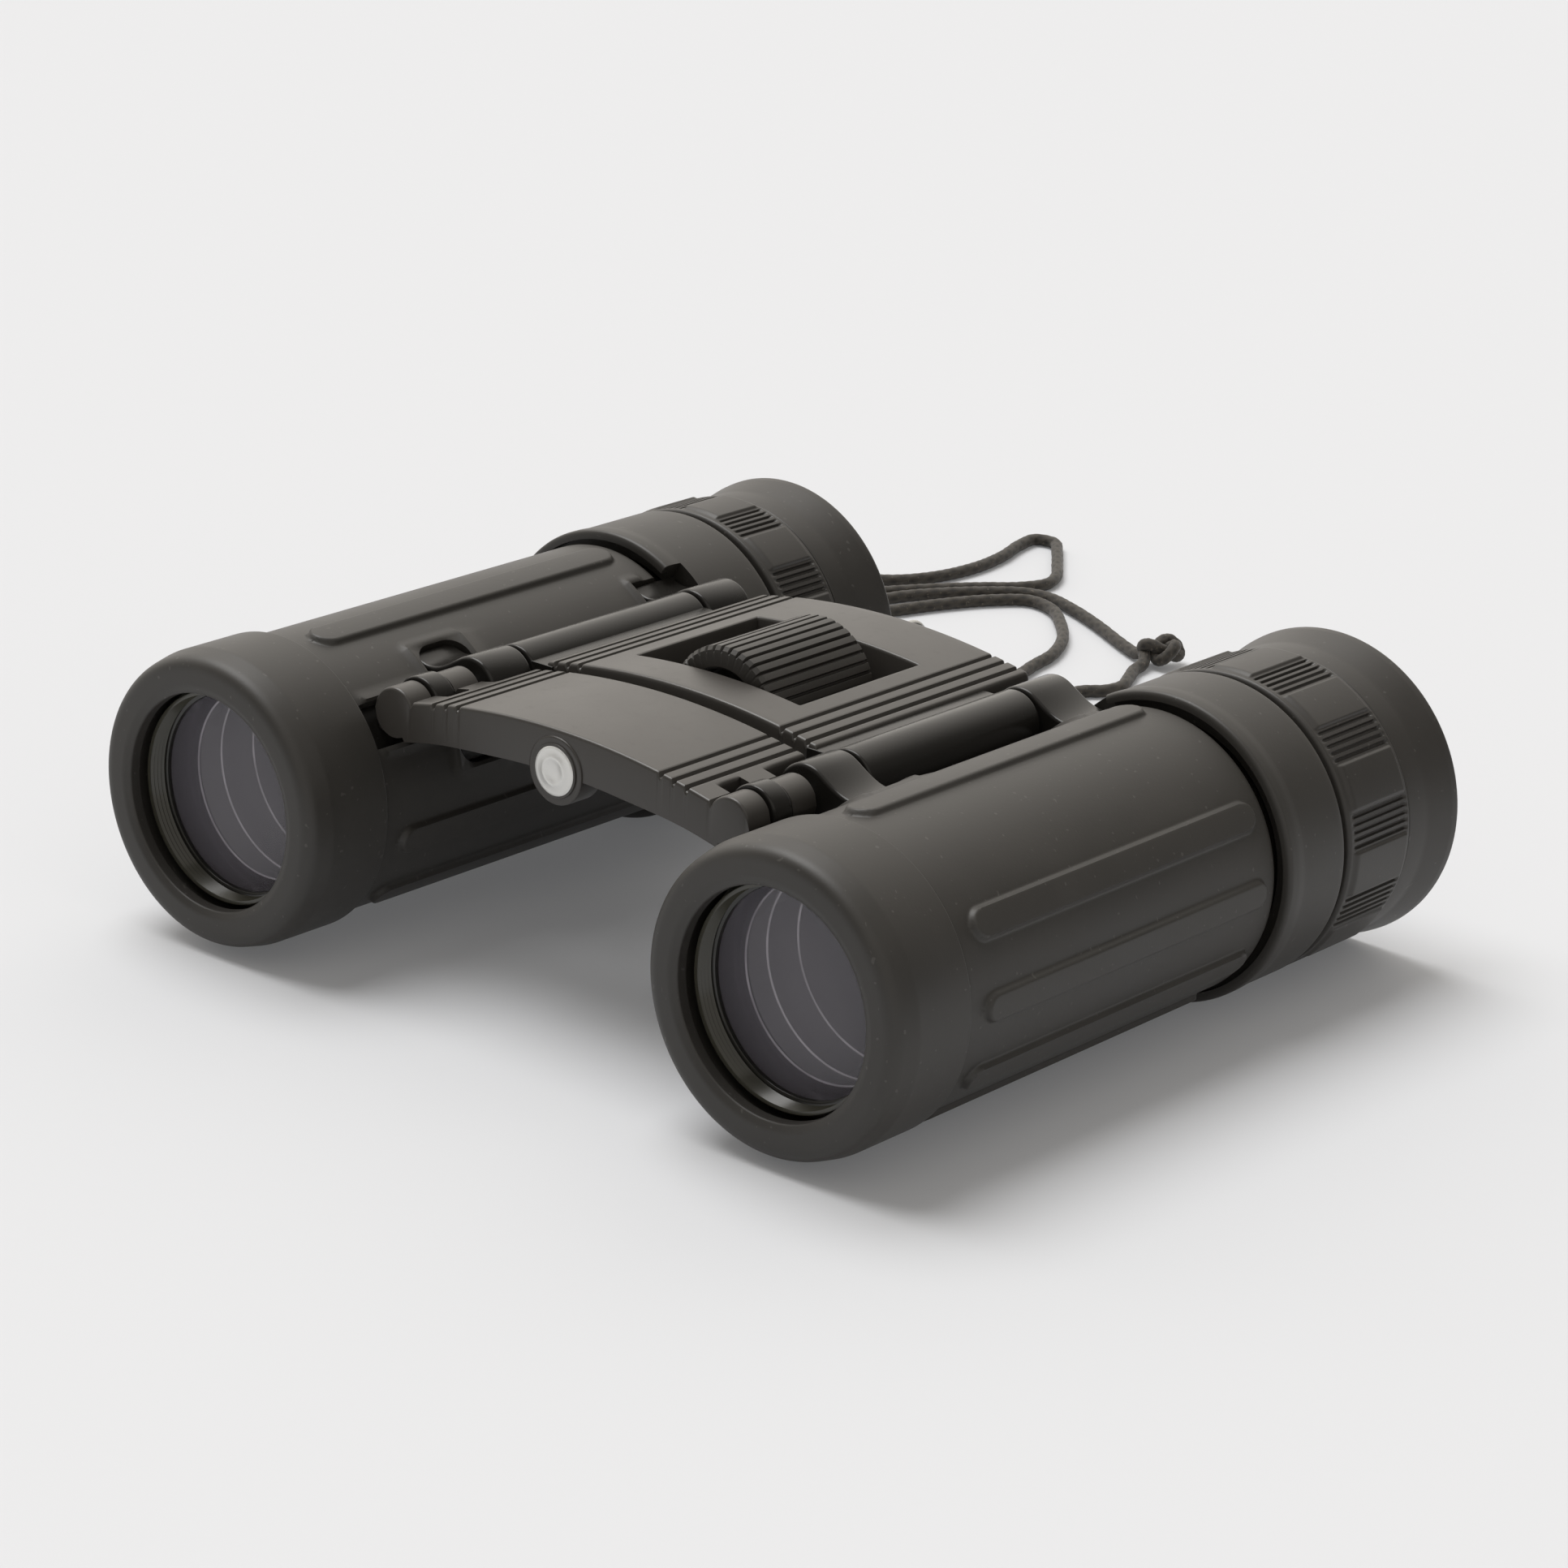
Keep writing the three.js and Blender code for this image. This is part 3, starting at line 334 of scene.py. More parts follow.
class Graph:
    """The node graph of one material."""

    def __init__(self, name: str) -> None:
        """Starts a material with a Principled BSDF joined to its output."""
        self.material = bpy.data.materials.new(name)
        self.material.use_nodes = True
        self.tree = self.material.node_tree
        self.tree.nodes.clear()
        self.shader = self.tree.nodes.new("ShaderNodeBsdfPrincipled")
        output = self.tree.nodes.new("ShaderNodeOutputMaterial")
        self.tree.links.new(self.shader.outputs[0], output.inputs[0])

    def put(self, socket: bpy.types.NodeSocket, value: Value) -> None:
        """Sets a socket to a number or a colour, or links a wire to it."""
        if isinstance(value, Wire):
            self.tree.links.new(value.socket, socket)
        else:
            socket.default_value = value

    def node(self, kind: str, settings: dict, inputs: dict, output: Union[int, str] = 0) -> Wire:
        """Adds a node.

        Args:
            kind: The node's type.
            settings: Properties of the node, set first. A ramp's stops are (place, colour) pairs.
            inputs: Socket names or numbers to values or wires.
            output: The output that is returned.

        Returns:
            That output.
        """
        made = self.tree.nodes.new(kind)
        for key, value in settings.items():
            if key == "stops":
                self._stops(made.color_ramp, value)
            else:
                setattr(made, key, value)
        for key, value in inputs.items():
            self.put(made.inputs[key], value)
        return Wire(self, made.outputs[output])

    @staticmethod
    def _stops(ramp: bpy.types.ColorRamp, stops: Sequence[tuple[float, float]]) -> None:
        """Puts grey stops on a ramp."""
        while len(ramp.elements) < len(stops):
            ramp.elements.new(1.0)
        for element, (place, grey) in zip(ramp.elements, stops):
            element.position = place
            element.color = (grey, grey, grey, 1.0)

    def coordinates(self) -> Wire:
        """Object coordinates, in metres."""
        return self.node("ShaderNodeTexCoord", {}, {}, "Object")

    def noise(self, scale: float, detail: float = 3.0, roughness: float = 0.55) -> Wire:
        """Noise of a given fineness on object coordinates."""
        inputs = {"Vector": self.coordinates(), "Scale": scale, "Detail": detail,
                  "Roughness": roughness}
        return self.node("ShaderNodeTexNoise", {}, inputs, "Fac")

    def ramp(self, value: Wire, *stops: tuple[float, float]) -> Wire:
        """A value carried through grey stops."""
        return self.node("ShaderNodeValToRGB", {"stops": stops}, {"Fac": value}, "Color")

    def mix(self, factor: Value, a: Value, b: Value) -> Wire:
        """Two colours mixed."""
        inputs = {"Factor": factor, 6: a, 7: b}
        return self.node("ShaderNodeMix", {"data_type": "RGBA"}, inputs, 2)

    def bump(self, height: Wire, strength: float, distance: float) -> Wire:
        """A normal from a height."""
        inputs = {"Height": height, "Strength": strength, "Distance": distance}
        return self.node("ShaderNodeBump", {}, inputs, "Normal")

    def set(self, **sockets: Value) -> "Graph":
        """Sets or links sockets of the Principled BSDF; underscores stand for spaces."""
        for name, value in sockets.items():
            self.put(self.shader.inputs[name.replace("_", " ")], value)
        return self


def tint(colour: Sequence[float], factor: float = 1.0) -> tuple[float, float, float, float]:
    """A colour made lighter or darker, with full alpha."""
    r, g, b = (c * factor for c in colour)
    return r, g, b, 1.0


@dataclass(frozen=True)
class Rubber:
    """Moulded rubber: fine grain, soft sheen, and a little pale dust."""

    name: str
    colour: tuple[float, float, float]
    roughness: float = 0.5
    grain: float = 0.12
    dust: float = 0.06

    def build(self) -> bpy.types.Material:
        """Returns the material."""
        g = Graph(self.name)
        broad = g.noise(70.0, 4.0)
        fine = g.noise(5200.0, 2.0)
        handled = g.mix(g.ramp(broad, (0.35, 0.0), (0.7, 1.0)), tint(self.colour, 0.86),
                        tint(self.colour, 1.14))
        specks = g.ramp(g.noise(1900.0, 0.0), (0.80, 0.0), (0.83, 1.0)) * self.dust
        g.set(Base_Color=g.mix(specks, handled, tint((0.5, 0.48, 0.45))),
              Roughness=(broad - 0.5) * 0.22 + self.roughness,
              Normal=g.bump(fine + g.noise(1500.0, 2.0) * 0.8, self.grain, 0.00006))
        return g.material


@dataclass(frozen=True)
class Satin:
    """A satin black surface: anodised or painted metal, or fine-textured plastic."""

    name: str
    colour: tuple[float, float, float]
    roughness: float = 0.32
    metallic: float = 0.0
    grain: float = 0.05
    shine: float = 0.5

    def build(self) -> bpy.types.Material:
        """Returns the material."""
        g = Graph(self.name)
        broad = g.noise(110.0, 5.0)
        fine = g.noise(9000.0, 2.0)
        marks = g.ramp(g.noise(650.0, 6.0, 0.7), (0.55, 0.0), (0.75, 1.0))
        g.set(Base_Color=g.mix(broad, tint(self.colour, 0.88), tint(self.colour, 1.12)),
              Roughness=(broad - 0.5) * 0.14 + marks * 0.05 + self.roughness,
              Metallic=self.metallic, Specular_IOR_Level=self.shine,
              Normal=g.bump(fine, self.grain, 0.00004))
        return g.material


@dataclass(frozen=True)
class Glass:
    """Glass drawn as a partly see-through colour; on the lenses that colour is a painted reflection, an
    even veil in place of the coating's reflection of the bright surround, with the inside dim behind
    it.
    """

    name: str
    colour: tuple[float, float, float]
    alpha: float
    roughness: float = 0.06

    def build(self) -> bpy.types.Material:
        """Returns the material."""
        g = Graph(self.name)
        cloud = g.noise(140.0, 3.0)
        # painted reflection: the base colour paints the coating's even veil of reflected light
        g.set(Base_Color=g.mix(cloud, tint(self.colour, 0.95), tint(self.colour, 1.05)),
              Roughness=self.roughness, Alpha=self.alpha)
        return g.material


@dataclass(frozen=True)
class Glow:
    """A pale ridge that glows by its own emission: a painted highlight in place of the light inside a
    barrel catching it.
    """

    name: str
    colour: tuple[float, float, float]
    strength: float

    def build(self) -> bpy.types.Material:
        """Returns the material."""
        g = Graph(self.name)
        # painted highlight: the emission colour, in noisy patches, makes the ridge glow though it is no
        # lamp
        lit = g.mix(g.ramp(g.noise(260.0, 2.0), (0.3, 0.35), (0.7, 1.0)), tint((0, 0, 0)),
                    tint(self.colour))
        g.set(Base_Color=tint(self.colour), Roughness=0.5, Emission_Color=lit,
              Emission_Strength=self.strength)
        return g.material


@dataclass(frozen=True)
class Braid:
    """A tight synthetic braid; a value on each point of the piece is high on the strands' crowns, and
    the colour is painted light on the crowns and painted shade in the grooves between them.
    """

    name: str
    colour: tuple[float, float, float]

    def build(self) -> bpy.types.Material:
        """Returns the material."""
        g = Graph(self.name)
        crown = g.node("ShaderNodeAttribute", {"attribute_name": "weave"}, {}, "Fac")
        fluff = g.noise(4200.0, 3.0)
        # painted shade in the grooves between strands and painted light on the crowns: darker and
        # lighter copies of the cord colour
        shade = g.mix(crown, tint(self.colour, 0.35), tint(self.colour, 1.7))
        flecks = g.ramp(g.noise(2600.0, 1.0), (0.66, 0.0), (0.74, 1.0)) * 0.35
        g.set(Base_Color=g.mix(flecks, shade, tint((0.20, 0.17, 0.13))), Roughness=0.78,
              Sheen_Weight=0.15, Normal=g.bump(fluff, 0.25, 0.00008))
        return g.material


@dataclass(frozen=True)
class Ground:
    """The plain pale floor."""

    name: str = "pale_floor"
    paint: tuple[float, float, float] = (0.562, 0.570, 0.587)
    lift: float = 0.16

    def build(self) -> bpy.types.Material:
        """Returns the material."""
        g = Graph(self.name)
        g.set(Base_Color=tint(self.paint), Roughness=0.95, Specular_IOR_Level=0.0,
              Emission_Color=tint(self.paint), Emission_Strength=self.lift)
        return g.material


class Finish(Enum):
    """The object's finishes, and the record's slot of each."""

    ARMOUR = (Rubber("armour_rubber", (0.030, 0.0275, 0.0240)), "rubber_armour")
    RING = (Rubber("ring_rubber", (0.027, 0.0245, 0.0215), roughness=0.46), "ring_rubber")
    CASING = (Satin("casing_paint", (0.015, 0.014, 0.0125), roughness=0.24, shine=0.32), "casing_paint")
    BRIDGE = (Satin("bridge_anodising", (0.040, 0.0365, 0.0325), roughness=0.36), "bridge_anodised")
    CELL = (Satin("cell_black", (0.016, 0.0155, 0.013), roughness=0.16, grain=0.0), "cell_black")
    THREAD = (Satin("mouth_thread", (0.050, 0.048, 0.037), roughness=0.18, grain=0.0), "cell_black")
    WHEEL = (Satin("wheel_plastic", (0.030, 0.0275, 0.024), roughness=0.42, grain=0.12),
             "wheel_black")
    STEEL = (Satin("turned_steel", (0.42, 0.42, 0.41), roughness=0.28, metallic=1.0), "steel")
    PLASTIC = (Satin("cage_plastic", (0.02, 0.02, 0.02), roughness=0.5), "cage_plastic")
    BADGE = (Satin("badge_silver", (0.72, 0.72, 0.70), roughness=0.3, metallic=0.35),
             "badge_silver")
    # painted reflection: the lens colour stands in for the coating's reflected veil
    COATING = (Glass("lens_coating_painted_reflection", (0.150, 0.142, 0.163), 0.62), "coated_glass")
    CLEAR = (Glass("clear_glass", (0.3, 0.32, 0.31), 0.4), "clear_glass")
    # painted highlight: the inner ridges glow by emission
    RIDGE = (Glow("inner_ridge_painted_glint", (0.62, 0.58, 0.62), 1.3), "cell_black")
    CORD = (Braid("neck_cord_braid", (0.026, 0.022, 0.017)), "cord")


# ---- Placing ----------------------------------------------------------------------------


@dataclass(frozen=True)
class Datum:
    """Where the optical frame lies in the row frame, in metres."""

    front: float
    axis_height: float
    barrel_x: float
    hinge_x: float
    hinge_z: float

    @classmethod
    def from_frame(cls, joints: Sequence[dict]) -> "Datum":
        """Reads the datum from the bezel's box and the fold joint's pivot.

        Args:
            joints: The frame's joints.

        Returns:
            The datum.
        """
        low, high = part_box("left_bezel")
        fold = next(j for j in joints if j["name"] == "left_barrel_fold")
        height = (low.z + high.z) / 2
        return cls(low.y, height, (low.x + high.x) / 2 / MM, fold["pos_m"][0] / MM,
                   (fold["pos_m"][2] - height) / MM)

    def place(self, points: np.ndarray) -> np.ndarray:
        """Points in the optical frame, in millimetres, carried to the row frame, in metres."""
        return points * MM + np.array([0.0, self.front, self.axis_height])


class Workshop:
    """Turns surfaces into finished pieces that ride on the CAD bodies."""

    def __init__(self, datum: Datum) -> None:
        """Builds each finish once."""
        self.datum = datum
        self.materials = {f: f.value[0].build() for f in Finish}

    def add(self, name: str, surface: Surface, finish: Finish, body: str,
            replaces: Sequence[str] = (), sharp: float = 38.0, placed: bool = False,
            ) -> bpy.types.Object:
        """Makes a piece.

        Args:
            name: The piece's name.
            surface: Its mesh, in millimetres.
            finish: Its finish.
            body: The CAD body that it rides on.
            replaces: CAD nodes that it stands for.
            sharp: Edges that turn by more than this many degrees stay sharp.
            placed: Whether the surface is in the row frame already.

        Returns:
            The object.
        """
        points = surface.points * MM if placed else self.datum.place(surface.points)
        mesh = bpy.data.meshes.new(name)
        # a value on each point that paints light on the braid's crowns and shade in its grooves
        mesh.from_pydata(points.tolist(), [], surface.faces)
        if surface.weave is not None:
            layer = mesh.attributes.new("weave", "FLOAT", "POINT")
            layer.data.foreach_set("value", surface.weave.astype(np.float32))
        mesh.polygons.foreach_set("use_smooth", np.ones(len(mesh.polygons), bool))
        mesh.set_sharp_from_angle(angle=math.radians(sharp))
        mesh.validate()
        mesh.materials.append(self.materials[finish])
        made = bpy.data.objects.new(name, mesh)
        bpy.context.scene.collection.objects.link(made)
        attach(made, body)
        if replaces:
            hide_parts(*replaces)
        LOG.info("%s: %d faces on %s", name, len(surface.faces), body)
        return made

    def dress(self, nodes: Sequence[str], finish: Finish) -> None:
        """Gives CAD nodes that stay as they are a finish."""
        for node in nodes:
            mesh = bpy.data.objects[node].data
            mesh.materials.clear()
            mesh.materials.append(self.materials[finish])
            LOG.info("%s: dressed as %s", node, finish.name)


# ---- Camera and light -------------------------------------------------------------------


@dataclass(frozen=True)
class Studio:
    """A long lens low in front of the pair, a pale floor, and soft light from behind and above."""

    azimuth: float = 39.88
    elevation: float = 19.58
    roll: float = 2.22
    distance: float = 0.49824
    aim: tuple[float, float, float] = (0.0, -0.00235, 0.0164)
    across: float = -0.002294
    down: float = 0.001315
    lens: float = 112.23
    behind: tuple[float, float, float] = (-0.76, 0.55, 0.45)
    warmth: tuple[float, float, float] = (1.0, 0.95, 0.88)
    dim: float = 0.15
    glow: float = 1.15
    key: float = 2.4
    key_from: tuple[float, float, float] = (-0.38, -0.02, 1.0)
    fill: float = 0.75
    fill_from: tuple[float, float, float] = (0.85, -0.45, 0.55)

    def camera(self) -> None:
        """Makes the camera, with aim a little off the middle of the picture."""
        az, el, roll = (math.radians(v) for v in (self.azimuth, self.elevation, self.roll))
        back = Vector((math.sin(az) * math.cos(el), -math.cos(az) * math.cos(el), math.sin(el)))
        level = Vector((math.cos(az), math.sin(az), 0.0))
        upright = back.cross(level)
        right = level * math.cos(roll) + upright * math.sin(roll)
        up = upright * math.cos(roll) - level * math.sin(roll)
        place = Vector(self.aim) + back * self.distance - right * self.across + up * self.down
        data = bpy.data.cameras.new("camera")
        data.lens, data.sensor_width, data.clip_start = self.lens, 36.0, 0.01
        camera = bpy.data.objects.new("camera", data)
        axes = Matrix((right, up, back)).transposed().to_4x4()
        camera.matrix_world = Matrix.Translation(place) @ axes
        bpy.context.scene.collection.objects.link(camera)
        bpy.context.scene.camera = camera

    def floor(self) -> None:
        """Makes the floor."""
        half = 4.0
        mesh = bpy.data.meshes.new("floor")
        corners = [(-half, -half, 0), (half, -half, 0), (half, half, 0), (-half, half, 0)]
        mesh.from_pydata(corners, [], [(0, 1, 2, 3)])
        mesh.materials.append(Ground().build())
        floor = bpy.data.objects.new("floor", mesh)
        bpy.context.scene.collection.objects.link(floor)

    def light(self) -> None:
        """Makes a dim, warm sky that is bright behind the pair, and two soft suns.

        The sky's strength is dim + glow * smoothstep(0.2, 0.95, d . b), where d is a direction
        and b points back, away from the camera, and a little up.
        """
        scene = bpy.context.scene
        scene.world = bpy.data.worlds.new("sky")
        scene.world.use_nodes = True
        tree = scene.world.node_tree
        sky = tree.nodes["Background"]
        sky.inputs["Color"].default_value = (*self.warmth, 1.0)
        place = tree.nodes.new("ShaderNodeTexCoord")
        facing = tree.nodes.new("ShaderNodeVectorMath")
        facing.operation = "DOT_PRODUCT"
        facing.inputs[1].default_value = Vector(self.behind).normalized()
        spread = tree.nodes.new("ShaderNodeMapRange")
        spread.interpolation_type = "SMOOTHSTEP"
        for name, value in (("From Min", 0.2), ("From Max", 0.95), ("To Min", self.dim),
                            ("To Max", self.dim + self.glow)):
            spread.inputs[name].default_value = value
        tree.links.new(place.outputs["Generated"], facing.inputs[0])
        tree.links.new(facing.outputs["Value"], spread.inputs["Value"])
        tree.links.new(spread.outputs["Result"], sky.inputs["Strength"])
        self._sun("key", self.key_from, self.key, 42.0, (1.0, 1.0, 1.0))
        self._sun("fill", self.fill_from, self.fill, 90.0, self.warmth)
        scene.view_settings.view_transform = "Standard"

    @staticmethod
    def _sun(name: str, towards: Sequence[float], strength: float, spread: float,
             colour: Sequence[float]) -> None:
        """Makes one sun that stands in the direction towards, spread degrees across."""
        data = bpy.data.lights.new(name, "SUN")
        data.energy, data.angle, data.color = strength, math.radians(spread), colour
        lamp = bpy.data.objects.new(name, data)
        lamp.rotation_euler = Vector(towards).to_track_quat("Z", "Y").to_euler()
        bpy.context.scene.collection.objects.link(lamp)

    def build(self) -> None:
        """Makes the camera, the floor and the light."""
        self.camera()
        self.floor()
        self.light()


# ---- Neck cord --------------------------------------------------------------------------


@dataclass(frozen=True)
class NeckCord:
    """The braided cord: from the eyelet to the ground, along its knot and bights, into a coil
    and back. Its points are in the row frame, in millimetres, with y from the eyelet."""

    radius: float = 0.75
    eyelet: tuple[float, float] = (20.95, 27.904)
    coil_centre: tuple[float, float] = (-85.0, 91.0)
    coil_radius: float = 8.25
    columns: int = 5
    strands: int = 8
    sides: int = 16
    step: float = 0.28
    knot_size: tuple[float, float, float] = (0.86, 0.66, 0.85)

    def fall(self, side: float) -> list[tuple[float, float, float]]:
        """One strand's way down from the eyelet, on the side 1 or -1."""
        up = self.eyelet[1]
        return [
            (side * 0.95, 0.0, up), (side * 2.5, 0.15, up - 1.3), (side * 2.6, 0.45, up - 4.3),
            (side * 1.5, 0.85, up * 0.65), (side * 0.85, 1.25, up * 0.4),
            (side * 0.85, 2.25, 4.2), (side * 0.85, 5.85, 1.1),
        ]

    def coil(self) -> list[tuple[float, float, float]]:
        """The coil: inwards on the ground, up a diameter, and outwards on top."""
        d = 2 * self.radius
        turns = self.columns - 0.5
        start = math.atan2(12.3, 5.5)
        t = np.linspace(0.0, 1.0, int(turns * 16))
        half = (self.columns - 1) * self.radius
        inward = self.coil_radius + half - t * 2 * half
        z0, z1 = self.radius + 0.05, self.radius + 0.05 + d
        angle = start + 2 * np.pi * turns * t
        rise = np.linspace(0.0, 1.0, 10)[1:-1]
        bend = angle[-1] + 2 * np.pi * 0.45 * rise
        back = bend[-1] + 0.28 + (angle - start)
        r = np.concatenate([inward, np.full(len(rise), inward[-1]), inward[::-1]])
        a = np.concatenate([angle, bend, back])
        z = np.concatenate([np.full(len(t), z0), z0 + rise * d, np.full(len(t), z1)])
        x = self.coil_centre[0] + r * np.cos(a)
        y = self.coil_centre[1] - self.eyelet[0] + r * np.sin(a)
        return np.stack([x, y, z], -1).tolist()

    def route(self) -> np.ndarray:
        """All the points that the cord follows, end to end."""
        lie = self.radius + 0.05
        to_knot = [(0.9, 12.05), (0.9, 20.05), (0.6, 28.05), (-2.5, 36.5), (-8.5, 44.5), (-15.5, 51),
                   (-21.5, 56.6), (-25.6, 61.6), (-26, 65.6), (-24.1, 68.2), (-23.7, 70.8), (-25, 74),
                   (-26.5, 77.2)]
        out = [(-33.7, 84.25), (-40.1, 87.95), (-46, 90.85), (-51.5, 92.65), (-55, 91.95),
               (-58.3, 88.95), (-62.1, 84.05), (-65, 78.55), (-66.2, 73.05), (-66.6, 68.65),
               (-69.3, 66.15), (-71.6, 69.25), (-70.4, 74.45), (-67.2, 79.65), (-63.7, 85.05),
               (-60, 89.85), (-57, 93.2), (-55.4, 97), (-56.5, 100.6), (-59.4, 104.6), (-63.2, 109.5),
               (-65.9, 112.4), (-68.6, 111.8), (-68.4, 108.2), (-66.8, 102.4), (-66.1, 96),
               (-67, 89.4), (-69.4, 84.4), (-72.6, 81.7), (-76, 80.6)]
        back = [(-69.2, 61.65), (-64.6, 66.45), (-61.8, 73.65), (-59.4, 80.05), (-56, 86.45),
                (-52.6, 89.9), (-48.5, 89.2), (-44, 85.3), (-39.8, 80.2), (-37, 74.4), (-35.8, 68.65),
                (-33.6, 62.05), (-28, 54.05), (-20, 46.05), (-11, 38.05), (-4, 31.05), (-0.9, 24.05),
                (-0.9, 15.05)]
        flat = [[(x, y, lie) for x, y in part] for part in (to_knot, out, back)]
        knot = [(-27.0, 79.6, 0.95), (-28.2, 81.4, 1.6), (-30.1, 82.3, 0.95)]
        points = [*self.fall(1), *flat[0], *knot, *flat[1], *self.coil(), (-74.5, 58.6, 1.1),
                  *flat[2], *self.fall(-1)[::-1]]
        return np.array(points) + np.array([0.0, self.eyelet[0], 0.0])

    def line(self) -> np.ndarray:
        """The smooth centreline, with points an even step apart.

        It is a centripetal Catmull-Rom curve: between two points the four nearest are blended
        pairwise by the square roots of the distances between them.
        """
        p = self.route()
        p = np.vstack([2 * p[0] - p[1], p, 2 * p[-1] - p[-2]])
        p0, p1, p2, p3 = p[:-3, None], p[1:-2, None], p[2:-1, None], p[3:, None]
        root = [np.sqrt(np.linalg.norm(b - a, axis=-1, keepdims=True))
                for a, b in ((p0, p1), (p1, p2), (p2, p3))]
        t1, t2, t3 = root[0], root[0] + root[1], root[0] + root[1] + root[2]
        t = t1 + (t2 - t1) * np.linspace(0, 1, 24, endpoint=False)[None, :, None]
        a1 = (t1 - t) / t1 * p0 + t / t1 * p1
        a2 = (t2 - t) / (t2 - t1) * p1 + (t - t1) / (t2 - t1) * p2
        a3 = (t3 - t) / (t3 - t2) * p2 + (t - t2) / (t3 - t2) * p3
        b1 = (t2 - t) / t2 * a1 + t / t2 * a2
        b2 = (t3 - t) / (t3 - t1) * a2 + (t - t1) / (t3 - t1) * a3
        curve = ((t2 - t) / (t2 - t1) * b1 + (t - t1) / (t2 - t1) * b2).reshape(-1, 3)
        curve = np.vstack([curve, p[-2]])
        along = np.concatenate([[0], np.cumsum(np.linalg.norm(np.diff(curve, axis=0), axis=1))])
        even = np.arange(0.0, along[-1], self.step)
        return np.stack([np.interp(even, along, curve[:, k]) for k in range(3)], -1)

    def tube(self, line: np.ndarray, radius: float) -> Surface:
        """A braided tube round a line.

        Two families of strands wind opposite ways. The radius is R (0.97 + 0.07 c), and is highest
        where a strand's crown passes: c = max(cos(n a / 2 + k s), cos(n a / 2 - k s)), over the
        angle a and the way s. The frame's first direction turns from x to z soon after the fall.

        Args:
            line: Points of the centreline, in millimetres.
            radius: The tube's radius.

        Returns:
            The surface, with the crowns marked in a value on each point, for painted light on the
            crowns and painted shade in the grooves.
        """
        tangent = np.gradient(line, axis=0)
        tangent /= np.linalg.norm(tangent, axis=1)[:, None]
        way = np.concatenate([[0], np.cumsum(np.linalg.norm(np.diff(line, axis=0), axis=1))])
        ends = smoothstep(32.0, 46.0, way) * smoothstep(32.0, 46.0, way[-1] - way)
        reference = np.stack([1 - ends, 0 * ends, ends], -1)
        first = reference - (reference * tangent).sum(1)[:, None] * tangent
        first /= np.linalg.norm(first, axis=1)[:, None]
        second = np.cross(tangent, first)
        a = np.linspace(0.0, 2 * np.pi, self.sides, endpoint=False)[None, :, None]
        s = way[:, None, None]
        half, k = self.strands / 2, 2 * np.pi / 2.4
        crown = np.maximum(np.cos(half * a + k * s), np.cos(half * a - k * s))
        r = radius * (0.97 + 0.07 * crown)
        ring = first[:, None] * np.cos(a) + second[:, None] * np.sin(a)
        points = line[:, None] + r * ring
        count = len(line)
        faces = grid_faces(count, self.sides, False, True)
        last = (count - 1) * self.sides
        faces += [list(range(self.sides))[::-1], list(range(last, last + self.sides))]
        # high on the crowns and low in the grooves; it paints light and shade into the cord's colour
        weave = np.clip(0.5 + 0.5 * crown[..., 0], 0, 1).reshape(-1)
        return Surface(points.reshape(-1, 3), faces, weave).outward()

    def knot(self) -> Surface:
        """The overhand knot: a trefoil drawn tight, (sin t + 2 sin 2t, cos t - 2 cos 2t, -sin 3t)
        scaled to the knot's size, over the middle of the knotted stretch."""
        t = np.linspace(0.0, 2 * np.pi, 140, endpoint=False)
        curve = np.stack([np.sin(t) + 2 * np.sin(2 * t), np.cos(t) - 2 * np.cos(2 * t),
                          -np.sin(3 * t)], -1) * np.array(self.knot_size)
        turn, c = 1.0, np.array([-26.5, 82.9 + self.eyelet[0], 2.1])
        x = curve[:, 0] * math.cos(turn) - curve[:, 1] * math.sin(turn)
        y = curve[:, 0] * math.sin(turn) + curve[:, 1] * math.cos(turn)
        line = np.stack([x, y, curve[:, 2]], -1) + c
        tangent = np.roll(line, -1, 0) - np.roll(line, 1, 0)
        tangent /= np.linalg.norm(tangent, axis=1)[:, None]
        radial = line - c
        first = radial - (radial * tangent).sum(1)[:, None] * tangent
        first /= np.linalg.norm(first, axis=1)[:, None]
        second = np.cross(tangent, first)
        a = np.linspace(0.0, 2 * np.pi, self.sides, endpoint=False)[None, :, None]
        crown = np.maximum(np.cos(4 * a + 20 * t[:, None, None]), np.cos(4 * a - 20 * t[:, None, None]))
        r = self.radius * (0.95 + 0.07 * crown)
        points = line[:, None] + r * (first[:, None] * np.cos(a) + second[:, None] * np.sin(a))
        points[..., 2] = np.maximum(points[..., 2], 0.04)
        # high on the crowns and low in the grooves; it paints light and shade into the knot's colour
        weave = np.clip(0.5 + 0.5 * crown[..., 0], 0, 1).reshape(-1)
        faces = grid_faces(len(t), self.sides, True, True)
        return Surface(points.reshape(-1, 3), faces, weave).outward()

    def build(self, shop: Workshop) -> None:
        line = self.line()
        cord = shop.add("neck_cord", self.tube(line, self.radius), Finish.CORD, "bridge",
                        ["cord_to_knot", "cord_to_coil", "cord_to_eyelet", "cord_coil"],
                        sharp=80.0, placed=True)
        knot = shop.add("neck_cord_knot", self.knot(), Finish.CORD, "bridge", ["cord_knot"],
                        sharp=80.0, placed=True)


# ---- Barrels ----------------------------------------------------------------------------


